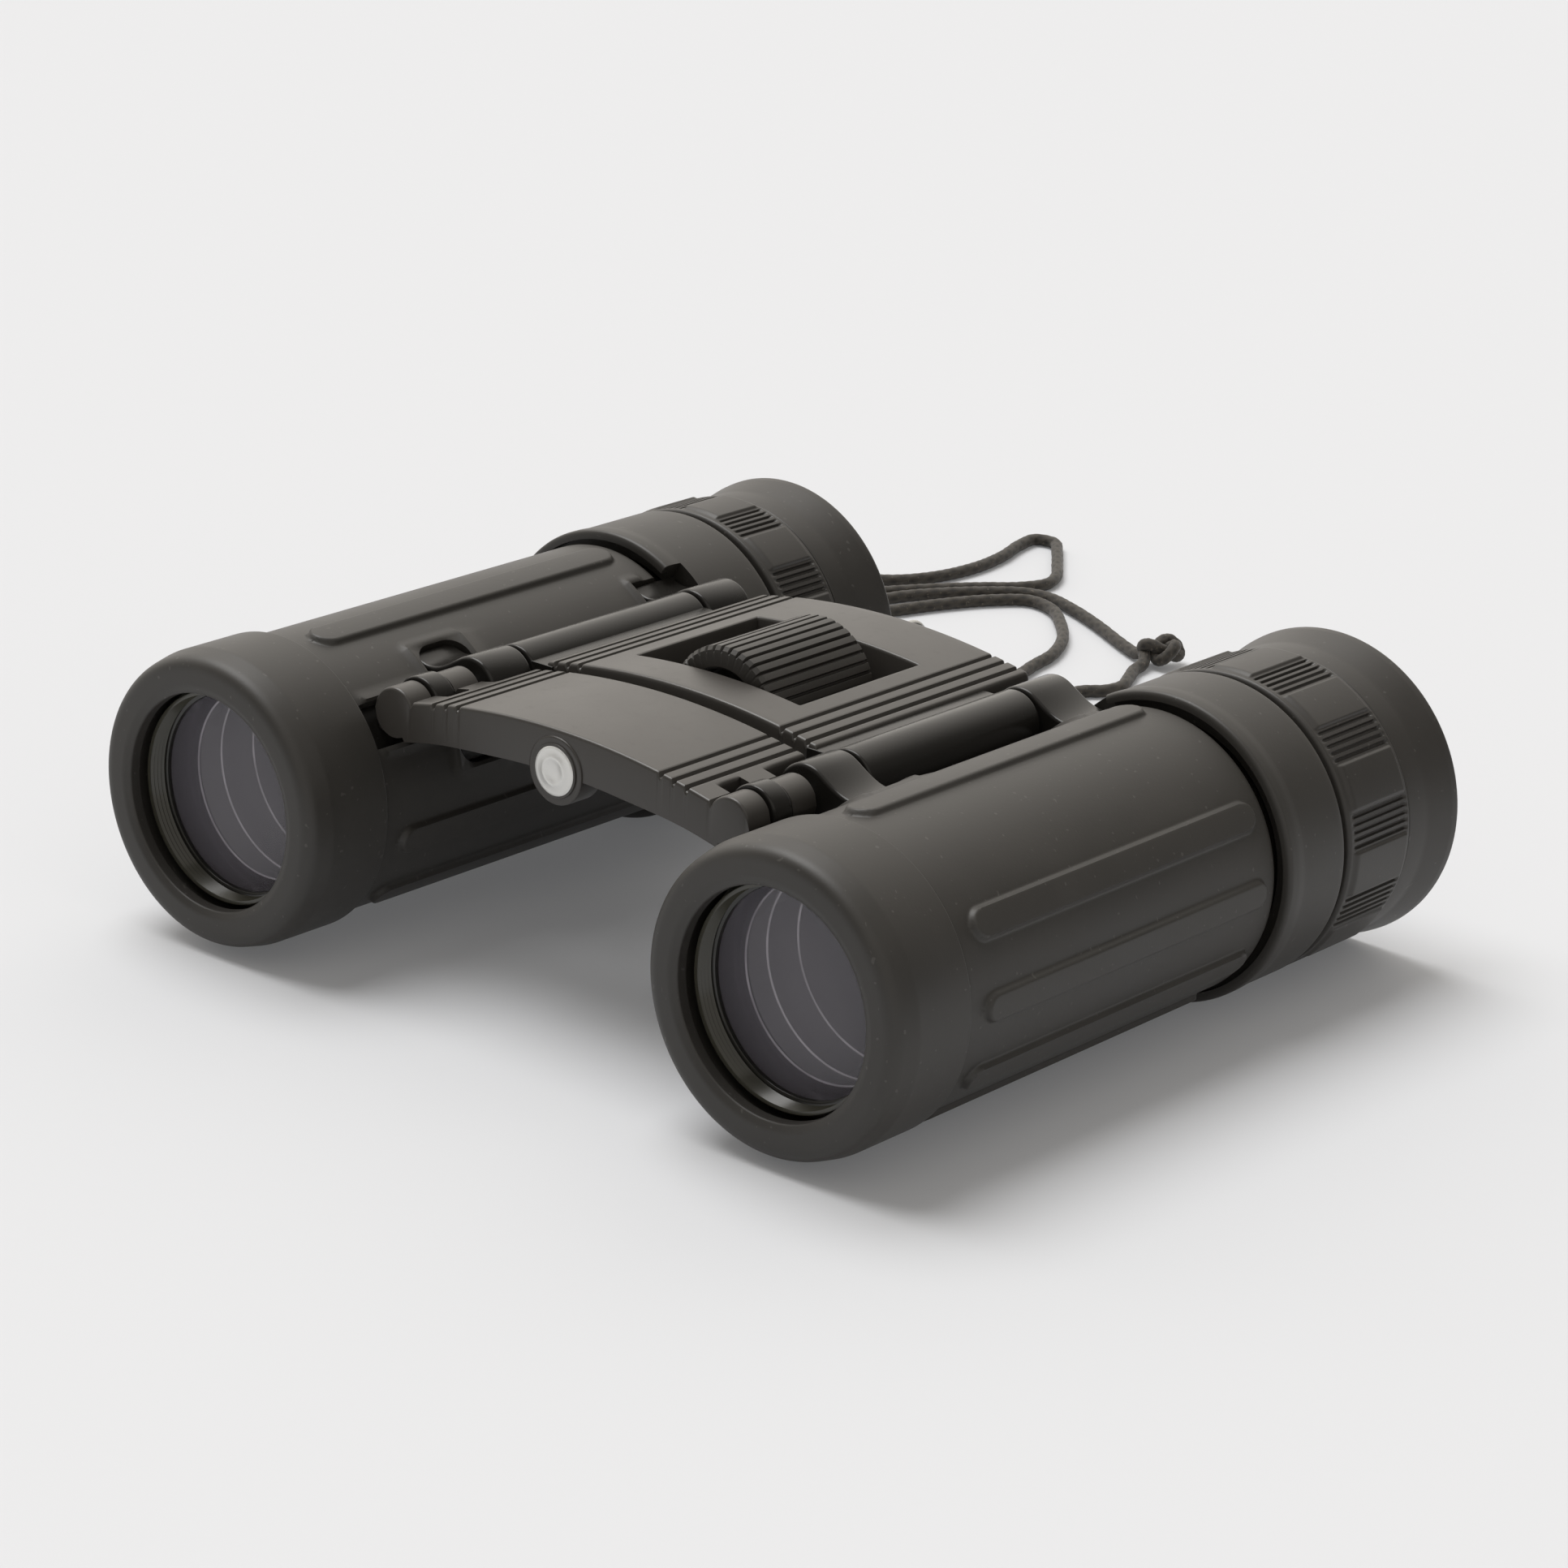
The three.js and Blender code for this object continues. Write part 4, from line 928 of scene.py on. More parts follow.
@dataclass(frozen=True)
class Barrel:
    """One barrel: side is 1 for the left one, at +x, and -1 for the right one."""

    side: float
    datum: Datum
    grip_r: float = 14.8
    bezel_r: float = 15.5
    collar_r: float = 16.0
    ring_r: float = 15.7
    eyecup_r: float = 16.4
    casing_r: float = 13.2
    ocular_r: float = 11.4
    lug_r: float = 3.3
    dioptre_step: float = 2.4
    bezel_end: float = 10.5
    grip_span: tuple[float, float] = (10.8, 59.3)
    grip_wall: float = 1.3
    rib_middle: float = 35.2
    rib_half: float = 22.0
    rib_height: float = 0.6
    front_lug: tuple[float, float] = (22.3, 28.2)
    rear_lug: tuple[float, float] = (55.6, 62.0)
    cut_half: float = 26.0
    slot_half: float = 9.5
    front_cut: tuple[float, float] = (21.9, 28.6)
    rear_cut: float = 55.2
    slot_start: float = 11.1
    collar_start: float = 59.8
    collar_end: float = 69.7
    ring_start: float = 70.3
    ring_end: float = 81.2
    ring_pads: int = 11
    arm_span: tuple[float, float] = (14.8, 17.5)
    ribs: tuple[tuple[float, float], ...] = (
        (97, 7.5), (31, 6.2), (0.5, 5.9), (-30, 6.2), (-62, 6.2), (-97, 7.5), (194, 6.2), (225, 6.2),
    )

    @property
    def hand(self) -> str:
        """The barrel's name."""
        return "left" if self.side > 0 else "right"

    @property
    def centre(self) -> tuple[float, float]:
        """Where the barrel's axis crosses the xz plane."""
        return self.side * self.datum.barrel_x, 0.0

    @property
    def _longer(self) -> float:
        """How much further back the eyepiece starts on the side that adjusts."""
        return 0.0 if self.side > 0 else self.dioptre_step

    @property
    def to_hinge(self) -> float:
        """The angle of the hinge, from the outward side, in degrees."""
        across = self.datum.barrel_x - self.datum.hinge_x
        return 180.0 - math.degrees(math.atan2(self.datum.hinge_z, across))

    def around(self, angle: np.ndarray, radius: np.ndarray, y: np.ndarray) -> np.ndarray:
        """Points from an angle off the outward side, a radius and a y."""
        x = self.side * (self.datum.barrel_x + radius * np.cos(angle))
        return np.stack(np.broadcast_arrays(x, y, radius * np.sin(angle)), -1)

    def _angles(self) -> np.ndarray:
        """Angles round the grip in degrees, fine over each rib and exact at the cuts' sides."""
        wide, narrow = self.cut_half, self.slot_half
        exact = self.to_hinge + np.array([-wide, -narrow, narrow, wide])
        fine = [middle + np.linspace(-half - 1.4, half + 1.4, 25) for middle, half in self.ribs]
        loose = np.mod(np.concatenate([*fine, np.arange(0.0, 360.0, 2.0)]), 360.0)
        apart = np.abs(np.mod(loose[:, None] - exact + 180.0, 360.0) - 180.0).min(1)
        merged = np.sort(np.concatenate([loose[apart > 0.3], exact]))
        return merged[np.diff(merged, append=merged[0] + 360.0) > 0.25]

    def _middles(self) -> np.ndarray:
        """The angles in degrees half way between neighbours, as a column."""
        angles = self._angles()
        after = np.append(angles[1:], angles[0] + 360.0)
        return ((angles + after) / 2)[:, None]

    def grip(self) -> Surface:
        """The grip: ribs with round ends stand on a cylinder, and a bead runs round each cut.

        A rib's height is rib_height times a smooth step of the distance inside a capsule, which
        is w - hypot(s, past) at s from its middle line, where w is its half width and past is how
        far y lies beyond its straight part. A bead is a bell curve of the distance to the cut's
        edge. The ends drop as quarter circles.
        """
        (start, end), (cut0, cut1) = self.grip_span, self.front_cut
        slot, rear = self.slot_start, self.rear_cut
        y = stations((start, slot, 5), (slot, 13.1, 6), (13.1, 16.6, 22), (16.6, cut0 - 0.8, 8),
                     (cut0 - 0.8, cut0, 5), (cut0, cut1, 10), (cut1, cut1 + 0.8, 5),
                     (cut1 + 0.8, 53.8, 12), (53.8, rear, 9), (rear, 57.3, 14), (57.3, end, 14))
        a = np.radians(self._angles())[:, None]
        r = np.full((len(a), len(y)), self.grip_r)
        for middle, half_degrees in self.ribs:
            away = np.angle(np.exp(1j * (a - math.radians(middle)))) * self.grip_r
            half = math.radians(half_degrees) * self.grip_r
            past = np.maximum(np.abs(y[None] - self.rib_middle) - (self.rib_half - half), 0.0)
            inside = half - np.hypot(away, past)
            r = r + self.rib_height * smoothstep(-0.12, 0.34, inside)
        off = np.angle(np.exp(1j * (a - math.radians(self.to_hinge))))
        middle_a = np.angle(np.exp(1j * (np.radians(self._middles()) - math.radians(self.to_hinge))))
        middle_y = (y[1:] + y[:-1])[None] / 2
        kept = np.ones((len(a), len(y) - 1), bool)
        bead = np.zeros_like(r)
        for half_degrees, y0, y1 in ((self.cut_half, cut0, cut1), (self.cut_half, rear, 64.0),
                                     (self.slot_half, slot, cut0)):
            half = math.radians(half_degrees)
            kept &= ~((np.abs(middle_a) < half) & (middle_y > y0) & (middle_y < y1))
            gap_a = (np.abs(off) - half) * self.grip_r
            gap_y = np.maximum(y0 - y[None], y[None] - y1)
            away = np.hypot(np.maximum(gap_a, 0), np.maximum(gap_y, 0))
            bead = np.maximum(bead, np.exp(-((away - 0.45) / 0.42) ** 2))
        r = r + 0.42 * bead * (smoothstep(11.2, 12.0, y) * (1 - smoothstep(56.5, 57.5, y)))[None]
        r = r - rounding(y[None] - start, 0.3) - rounding(end - y[None], 0.8) * 0.9
        inner = np.full_like(r, self.grip_r - self.grip_wall)
        aa, yy = self._round_corners(a, off, y[None] + 0 * a)
        return shell(self.around(aa, r, yy), self.around(aa, inner, yy), kept, True)

    def _round_corners(self, a: np.ndarray, off: np.ndarray, y: np.ndarray,
                       ) -> tuple[np.ndarray, np.ndarray]:
        """Moves the points on the front cut's edge onto arcs at its corners.

        A point at a distance d along either side from a corner goes to the arc's point at
        45 (1 - d / r) degrees from that side's end of the arc.

        Args:
            a: Angles, as a column.
            off: Angles from the hinge, as a column.
            y: Places along the axis, on the whole grid.

        Returns:
            The moved angles and places.
        """
        half, (y0, y1), r = math.radians(self.cut_half) * self.grip_r, self.front_cut, 2.2
        s, t = off * self.grip_r, np.minimum(y - y0, y1 - y)
        from_side, inward = half - np.abs(s), np.where(y < (y0 + y1) / 2, 1.0, -1.0)
        on_side = (np.abs(from_side) < 0.01) & (t > -0.01) & (t < r)
        on_end = (np.abs(t) < 0.01) & (from_side > 0.01) & (from_side < r)
        turn = np.radians(45.0) * (1 - np.where(on_side, t, from_side) / r)
        near, far = r * (1 - np.cos(turn)), r * (1 - np.sin(turn))
        ds = np.where(on_side, near, np.where(on_end, far - from_side, 0.0))
        dt = np.where(on_side, far - t, np.where(on_end, near, 0.0))
        return a - np.sign(s) * ds / self.grip_r, y + inward * dt

    def bezel(self) -> Surface:
        """The bezel: a fat rounded nose that rolls into the mouth."""
        outline = filleted([
            (11.3, 0.35, 0.35), (12.1, 0.0, 1.2), (14.9, 0.0, 2.6), (self.bezel_r, 3.0, 3.0),
            (self.bezel_r, self.bezel_end, 0.25), (13.5, self.bezel_end, 0.0),
            (13.5, 7.2, 0.0), (12.3, 7.2, 0.0), (12.3, 1.75, 0.0), (11.3, 1.6, 0.1),
        ], 9)
        return turned(outline, self.centre, 160)

    def collar(self) -> Surface:
        """The collar: a proud lip over the grip's end, a soft back edge, and the lug's notch."""
        start, end = self.collar_start, self.collar_end + self._longer
        y = stations(edge_run(start, 1, 0.5), (60.3, 62.4, 8), (62.41, end - 0.9, 12),
                     edge_run(end, -1, 0.9))
        a = np.radians(np.linspace(0.0, 360.0, 288, endpoint=False))[:, None]
        lip = 0.12 * (1 - smoothstep(61.0, 62.6, y))
        r = self.collar_r + lip - rounding(y - start, 0.5) - rounding(end - y, 0.9)
        inner = np.where(y < 61.0, self.grip_r + 0.35, np.where(y < 67.4, self.grip_r - self.grip_wall,
                                                             self.ocular_r + 0.4))
        off = np.angle(np.exp(1j * (a - math.radians(self.to_hinge)))) + math.radians(0.6)
        notch = (np.abs(off) < math.radians(25.5)) & ((y[1:] + y[:-1])[None] / 2 < 62.4)
        yy, rr, ii = y[None] + 0 * a, r[None] + 0 * a, inner[None] + 0 * a
        return shell(self.around(a, rr, yy), self.around(a, ii, yy), ~notch, True)

    def eyepiece_ring(self) -> Surface:
        """The eyepiece ring: eleven pads, with five fine grooves between each two.

        Round the ring the angle is folded into one pitch, 32.7 degrees. Within 7.25 degrees of
        its middle the surface is low and scored by grooves 2.9 degrees apart; beyond it a pad
        rises by 0.4 mm, with chamfered ends.
        """
        start, end = self.ring_start + self._longer, self.ring_end
        y = stations((start, start + 2.6, 16), (start + 2.6, end - 1.4, 14), (end - 1.4, end, 12))
        pitch = 2 * np.pi / self.ring_pads
        a = np.linspace(0.0, 2 * np.pi, self.ring_pads * 80, endpoint=False)[:, None]
        fold = np.mod(a - math.radians(10.2) + pitch / 2, pitch) - pitch / 2
        degrees = np.degrees(fold)
        band = smoothstep(start + 0.6, start + 1.5, y) * (1 - smoothstep(end - 1.1, end - 0.5, y))
        pad = smoothstep(7.3, 8.3, np.abs(degrees)) * band[None]
        comb = np.abs(np.mod(degrees / 2.9 + 0.5, 1.0) - 0.5)
        groove = (1 - smoothstep(0.14, 0.26, comb)) * (np.abs(degrees) < 7.0) * band[None]
        r = self.ring_r + 0.16 + 0.28 * pad - 0.30 * groove
        r = r - rounding(y - start, 0.4)[None] - rounding(end - y, 0.5)[None]
        inner = np.full_like(r, self.ocular_r + 0.3)
        yy = y[None] + 0 * a
        kept = np.ones((len(a), len(y) - 1), bool)
        return shell(self.around(a, r, yy), self.around(a, inner, yy), kept, True)

    def eyecup(self) -> Surface:
        """The flared eyecup, hollowed towards the eye lens."""
        outline = filleted([
            (15.45, 81.5, 0.3), (15.62, 84.6, 6.0), (16.3, 88.1, 2.0), (self.eyecup_r, 89.3, 0.7),
            (14.9, 89.3, 0.8), (13.5, 85.7, 2.0), (10.8, 84.3, 0.6), (10.8, 84.05, 0.0),
            (11.7, 83.9, 0.0), (11.7, 81.5, 0.0),
        ], 8)
        return turned(outline, self.centre, 160)

    def cell(self) -> Surface:
        """The objective's cell: a threaded mouth ahead of its seat, and a stepped bore behind."""
        threads = [(10.68 + 0.2 * (k % 2), 2.45 + 0.24 * k, 0.0) for k in range(9)]
        outline = filleted([
            *threads, (10.85, 4.6, 0.0), (10.85, 8.7, 0.0), (10.0, 8.7, 0.0), (10.0, 10.1, 0.0),
            (10.7, 10.1, 0.0), (10.7, 20.5, 0.0), (11.9, 20.5, 0.1), (11.9, 4.3, 0.25),
            (11.1, 4.3, 0.0), (11.1, 2.4, 0.1),
        ], 3)
        return turned(outline, self.centre, 144)

    def retaining_ring(self) -> Surface:
        """The ring in front of the objective, with a fine bevel."""
        outline = filleted([
            (10.3, 4.5, 0.15), (10.8, 4.35, 0.05), (10.8, 4.9, 0.0), (10.3, 4.95, 0.0),
        ], 3)
        return turned(outline, self.centre, 144)

    def lens(self, radius: float, y0: float, y1: float, front: float, back: float) -> Surface:
        """A double-convex lens: y = y0 + front (r / R)^2 ahead, y1 - back (r / R)^2 behind."""
        share = np.linspace(0.015, 1.0, 24)
        ahead = np.stack([radius * share, y0 + front * share**2], -1)
        behind = np.stack([radius * share, y1 - back * share**2], -1)[::-1]
        return turned_solid(np.vstack([ahead, behind]), self.centre, 96)

    def ridge(self, radius: float, y: float) -> Surface:
        """One thin ridge on the inside of the cell."""
        outline = filleted([(radius, y, 0.0), (radius + 0.15, y - 0.12, 0.0),
                            (radius + 0.15, y + 0.12, 0.0)], 1)
        return turned(outline, self.centre, 128)

    def lug(self, span: tuple[float, float]) -> Surface:
        """A lug: a round head on the hinge, flared in an S on both sides onto the casing.

        The head is an arc from 100 degrees round the far side to -100. A cubic runs from its end,
        along its tangent, to the casing at 22.6 degrees off the line to the barrel axis.
        """
        centre = np.array([self.datum.barrel_x, 0.0])
        hinge = np.array([self.datum.hinge_x, self.datum.hinge_z])
        along = centre - hinge
        far = float(np.linalg.norm(along))
        along /= far
        across = np.array([-along[1], along[0]])
        half, head = math.radians(25.0), math.radians(98.0)
        p0 = np.array([self.lug_r * math.cos(head), self.lug_r * math.sin(head)])
        p1 = p0 + 1.9 * np.array([math.sin(head), -math.cos(head)])
        p3 = np.array([far - 14.3 * math.cos(half), 14.3 * math.sin(half)])
        p2 = p3 - 3.3 * np.array([math.sin(half), math.cos(half)])
        t = np.linspace(0, 1, 16)[:, None]
        flare = (1 - t) ** 3 * p0 + 3 * t * (1 - t) ** 2 * p1 + 3 * t**2 * (1 - t) * p2 + t**3 * p3
        arc = np.linspace(2 * np.pi - head, head, 40)[1:-1, None]
        round_head = self.lug_r * np.hstack([np.cos(arc), np.sin(arc)])
        root = np.array([[far - 12.6, 5.0], [far - 12.6, -5.0]])
        mirrored = flare[::-1] * np.array([1.0, -1.0])
        local = np.vstack([flare, root, mirrored, round_head])
        flat = hinge + local[:, :1] * along + local[:, 1:] * across
        flat[:, 0] *= self.side
        after = np.roll(flat, -1, 0)
        area = float((flat[:, 0] * after[:, 1] - after[:, 0] * flat[:, 1]).sum())
        return extruded(flat if area > 0 else flat[::-1], *span, 0.35)

    def casing(self) -> Surface:
        """The casing's tube with both lugs."""
        outline = filleted([
            (12.25, 7.5, 0.1), (self.casing_r, 7.5, 0.1),
            (self.casing_r, 67.0, 0.1), (12.25, 67.0, 0.1),
        ], 2)
        return turned(outline, self.centre, 144) + self.lug(self.front_lug) + self.lug(self.rear_lug)

    def focus_arm(self) -> Surface:
        """The arm's eye on the hinge pin, and its web to the cell."""
        hinge = (self.side * self.datum.hinge_x, self.datum.hinge_z)
        y0, y1 = self.arm_span
        eye = turned(filleted([(1.4, y0, 0.0), (2.95, y0, 0.3), (2.95, y1, 0.3), (1.4, y1, 0.0)], 5),
                     hinge, 72)
        pull = np.array([self.datum.barrel_x - self.datum.hinge_x, -self.datum.hinge_z])
        pull /= np.linalg.norm(pull)
        across = np.array([-pull[1], pull[0]])
        local = filleted([(2.6, -1.7, 0.3), (6.3, -1.7, 0.1), (6.3, 1.7, 0.1), (2.6, 1.7, 0.3)], 3)
        hub = np.array([self.datum.hinge_x, self.datum.hinge_z])
        flat = hub + local[:, :1] * pull + local[:, 1:] * across
        flat[:, 0] *= self.side
        if self.side < 0:
            flat = flat[::-1]
        return eye + extruded(flat, y0, y1, 0.25)

    def build(self, shop: Workshop) -> None:
        """Makes all the barrel's pieces."""
        h = self.hand
        body, cell = f"{h}_barrel", f"{h}_cell"
        turns = body if self.side > 0 else "dioptre"
        slides = body if self.side > 0 else "right_ocular"
        ring = "left_eyepiece_ring" if self.side > 0 else "diopter_ring"
        shop.add(f"{h}_grip_sleeve", self.grip(), Finish.ARMOUR, body, [f"{h}_grip"], sharp=50.0)
        shop.add(f"{h}_bezel_ring", self.bezel(), Finish.ARMOUR, body, [f"{h}_bezel"])
        shop.add(f"{h}_collar_ring", self.collar(), Finish.ARMOUR, body, [f"{h}_collar"])
        shop.add(f"{h}_grooved_ring", self.eyepiece_ring(), Finish.RING, turns, [ring], sharp=55.0)
        shop.add(f"{h}_flared_cup", self.eyecup(), Finish.RING, turns, [f"{h}_eyecup"])
        shop.add(f"{h}_casing_tube", self.casing(), Finish.CASING, body, [f"{h}_casing"])
        shop.add(f"{h}_cell_mouth", self.cell(), Finish.THREAD, cell, [f"{h}_objective_cell"],
                 sharp=20.0)
        shop.add(f"{h}_cell_ring", self.retaining_ring(), Finish.CELL, cell, [f"{h}_retaining_ring"])
        shop.add(f"{h}_objective", self.lens(10.8, 4.4, 8.3, 0.7, 0.5), Finish.COATING, cell,
                 [f"{h}_objective_lens"])
        # thin ridges inside the cell that carry a painted highlight: they glow by emission
        for k, (radius, y) in enumerate(((9.95, 8.6), (10.5, 12.3), (10.5, 16.8))):
            shop.add(f"{h}_inner_ridge_{k + 1}", self.ridge(radius, y), Finish.RIDGE, cell)
        shop.add(f"{h}_arm", self.focus_arm(), Finish.CASING, cell, [f"{h}_focus_arm"])
        shop.add(f"{h}_eye_glass", self.lens(10.1, 77.0, 81.8, 0.9, 0.7), Finish.COATING, slides,
                 [f"{h}_eye_lens"])
        shop.dress([f"{h}_prism_cage", f"{h}_ocular_tube"], Finish.PLASTIC)
        shop.dress([f"{h}_front_prism", f"{h}_roof_prism", f"{h}_field_lens"], Finish.CLEAR)
        shop.dress([f"{h}_arm_screw"], Finish.STEEL)


# ---- Bridge -----------------------------------------------------------------------------


@dataclass(frozen=True)
class Bridge:
    """The two arched plates, the hinges, the wheel and the small parts on them."""

    datum: Datum
    plate_half: float = 17.9
    arch_drop: float = 1.8
    front_top: float = 14.6
    rear_top: float = 15.0
    knuckle_r: float = 2.6
    tube_r: float = 3.2
    window_half: float = 10.7
    window: tuple[float, float] = (34.9, 53.3)
    spindle_z: float = 10.4
    front_start: float = 11.4
    front_end: float = 27.5
    nose_end: float = 14.5
    back_knuckle: tuple[float, float] = (17.8, 21.2)
    land: float = 19.8
    rear_span: tuple[float, float] = (29.0, 62.5)
    tube_span: tuple[float, float] = (28.7, 55.2)
    boss_r: float = 3.5
    groove_inset: float = 1.2
    groove_pitch: float = 1.65
    groove_depth: float = 0.5
    walls: tuple[float, float] = (32.0, 59.5)
    underside: float = 9.1
    wheel: tuple[float, float] = (35.7, 51.6)
    teeth: int = 40

    def arch(self, x: np.ndarray, top: float) -> np.ndarray:
        """The height of an arched top: top - (R - sqrt(R^2 - x^2)), whose R drops it by
        arch_drop at plate_half."""
        radius = (self.plate_half**2 + self.arch_drop**2) / (2 * self.arch_drop)
        return top - (radius - np.sqrt(np.maximum(radius**2 - x**2, 0.0)))

    def grooves(self, x: np.ndarray) -> np.ndarray:
        """The depth of the three smooth-sided grooves along each edge, at x."""
        depth = np.zeros_like(x)
        for k in range(3):
            off = np.abs(np.abs(x) - (self.plate_half - self.groove_inset - self.groove_pitch * k))
            depth = np.maximum(depth, self.groove_depth * (1 - smoothstep(0.08, 0.36, off)))
        return depth

    def _across(self, outer: float) -> np.ndarray:
        """Places across a plate, fine over the grooves, the window's sides and the edges."""
        w, p = self.window_half, self.plate_half
        half = stations((0, w - 0.4, 12), (w - 0.4, w, 5), (w, w + 0.4, 5), (w + 0.4, p - 6.0, 4),
                        (p - 6.0, p, 56), (p, outer, 26))
        return np.unique(np.concatenate([-half, half]))

    def _disc(self, x: np.ndarray, radius: float) -> np.ndarray:
        """Half the height of a disc on a hinge, at x."""
        return np.sqrt(np.maximum(radius**2 - (np.abs(x) - self.datum.hinge_x) ** 2, 0.0))

    def front_plate(self) -> Surface:
        """The front bridge: an arched plate, a deeper nose in front, and a disc on each hinge.

        Over the plate the top is the arch less the grooves. Beyond it the top is the higher of
        the arch carried on and the hinge's disc, and the bottom the lower of the skirt and the
        disc. Every edge drops as a quarter circle of its distance from the boundary.
        """
        hx, hz, r = self.datum.hinge_x, self.datum.hinge_z, self.knuckle_r
        x = self._across(hx + r)
        front, back, end, (knuckle0, knuckle1) = (self.front_start, self.front_end, self.nose_end,
                                                  self.back_knuckle)
        y = stations(edge_run(front, 1, 0.35), (11.8, 14.0, 5), edge_run(end, -1, 0.2),
                     (end + 0.01, knuckle0 - 0.01, 8), edge_run(knuckle0, 1, 0.2), (18.1, 20.9, 5),
                     edge_run(knuckle1, -1, 0.2), (knuckle1 + 0.01, 27.0, 8), edge_run(back, -1, 0.4))
        xx, yy = np.meshgrid(x, y, indexing="ij")
        out, arch, disc = np.abs(xx), self.arch(xx, self.front_top), self._disc(xx, r)
        nose, beyond = yy < end + 0.005, out > self.plate_half
        skirt = arch - 4.5 + 0.35 * smoothstep(8, 18, out)
        top = np.where(beyond & (out > self.land), hz + disc,
                       np.where(beyond, np.maximum(hz + disc, arch), arch - self.grooves(xx)))
        below = np.where(nose, np.where(out < hx - r, skirt, np.minimum(skirt, hz - disc)), arch - 2.2)
        below = np.where(beyond & (out > hx - r * 0.5), hz - disc, below)
        below = np.where(beyond & ~nose & (out <= hx), np.maximum(hz - disc, hz - 1.7), below)
        edge = rounding(yy - front, 0.35) + rounding(back - yy, 0.4)
        slot = (yy > end + 0.01) & (yy < knuckle0 - 0.01) | (yy > knuckle1 + 0.01)
        top = np.maximum(top - edge - rounding(self.plate_half - out, 0.35) * slot, below + 0.02)
        middle_x, middle_y = np.abs(x[1:] + x[:-1]) / 2, (y[1:] + y[:-1]) / 2
        solid_y = (middle_y < end) | ((middle_y > knuckle0) & (middle_y < knuckle1))
        kept = (middle_x[:, None] < self.plate_half) | solid_y[None]
        upper, lower = np.stack([xx, yy, top], -1), np.stack([xx, yy, below], -1)
        boss = turned_solid(filleted([
            (0.02, 11.1, 0.0), (2.75, 11.1, 0.0), (2.8, 11.25, 0.0), (self.boss_r, 11.2, 0.25),
            (self.boss_r, 14.2, 0.1), (0.02, 14.2, 0.0),
        ], 4), (0.0, self.spindle_z), 96)
        return shell(upper, lower, kept, False) + boss

    def badge(self) -> Surface:
        """A plain disc with one raised ring round a shallow dish."""
        outline = np.array([
            (0.02, 11.02), (1.0, 11.0), (1.2, 10.9), (1.5, 10.9), (1.65, 11.0), (2.25, 11.0),
            (2.45, 11.04), (2.55, 11.15), (2.55, 11.45), (0.02, 11.45),
        ])
        return turned_solid(outline, (0.0, self.spindle_z), 96)

    def rear_plate(self) -> Surface:
        """The rear bridge: an arched plate over two walls and two cheeks, open at its window."""
        x = self._across(self.plate_half)
        (y0, y1), (front, back) = self.window, self.rear_span
        y = stations(edge_run(front, 1, 0.4), (29.4, 31.9, 4), (32.01, y0 - 0.4, 5),
                     edge_run(y0, -1, 0.4), (y0, y1, 12), edge_run(y1, 1, 0.4),
                     (y1 + 0.4, 59.4, 6), (59.51, 62.1, 4), edge_run(back, -1, 0.4))
        xx, yy = np.meshgrid(x, y, indexing="ij")
        to_window = np.hypot(np.maximum(np.abs(xx) - self.window_half, 0),
                             np.maximum(np.maximum(y0 - yy, yy - y1), 0))
        top = self.arch(xx, self.rear_top) - self.grooves(xx)
        top -= rounding(yy - front, 0.4) + rounding(back - yy, 0.4) + rounding(to_window, 0.35)
        top -= rounding(self.plate_half - np.abs(xx), 0.35)
        walls = (yy < self.walls[0]) | (yy > self.walls[1])
        cheeks = (np.abs(xx) < self.window_half + 1.5) & (yy > y0 - 2) & (yy < y1 + 2)
        deep = (walls & (np.abs(xx) < self.plate_half - 0.5)) | cheeks
        below = np.where(deep, self.underside, self.arch(xx, self.rear_top) - 2.4)
        middle_x, middle_y = np.abs(x[1:] + x[:-1])[:, None] / 2, (y[1:] + y[:-1])[None] / 2
        kept = ~((middle_x < self.window_half) & (middle_y > y0) & (middle_y < y1))
        return shell(np.stack([xx, yy, top], -1), np.stack([xx, yy, below], -1), kept, False)

    def hinge_tubes(self) -> Surface:
        """The rear bridge's hinge tubes, each with the web that carries it."""
        made, hx, (y0, y1) = None, self.datum.hinge_x, self.tube_span
        for side in (1.0, -1.0):
            tube = turned(filleted([
                (1.6, y0, 0.0), (self.tube_r, y0, 0.35), (self.tube_r, y1, 0.35), (1.6, y1, 0.0),
            ], 5), (side * hx, self.datum.hinge_z), 96)
            web = filleted([(16.9, 9.1, 0.0), (hx, 9.1, 0.0), (hx, 12.9, 0.0), (16.9, 12.9, 0.0)], 2)
            web[:, 0] *= side
            flat = web if side > 0 else web[::-1]
            both = tube + extruded(flat, y0 + 0.05, y1 - 0.05, 0.1)
            made = both if made is None else made + both
        return made

    def focus_wheel(self) -> Surface:
        """The wheel: straight teeth round it, chamfered ends, and a dished hub in front.

        A tooth's height over the root is a smooth step of how far the angle is from the middle
        of the gap, folded into one pitch, and only the outline's rim points carry it.
        """
        y0, y1 = self.wheel
        rim = [(6.05, y0 + 0.03), (6.35, y0 + 0.12), (6.62, y0 + 0.5), (6.64, y0 + 1.2),
               (6.64, y1 - 1.2), (6.62, y1 - 0.5), (6.35, y1 - 0.1), (6.0, y1)]
        hub = [(1.75, y1), (1.75, y0 + 2.6), (2.4, y0 + 2.5), (4.35, y0 + 2.4), (4.6, y0 + 2.2),
               (4.7, y0 + 0.25), (4.95, y0)]
        outline = np.array(rim + hub)
        carries = np.zeros(len(outline))
        carries[: len(rim)] = (0.25, 0.7, 1.0, 1.0, 1.0, 1.0, 0.7, 0.25)

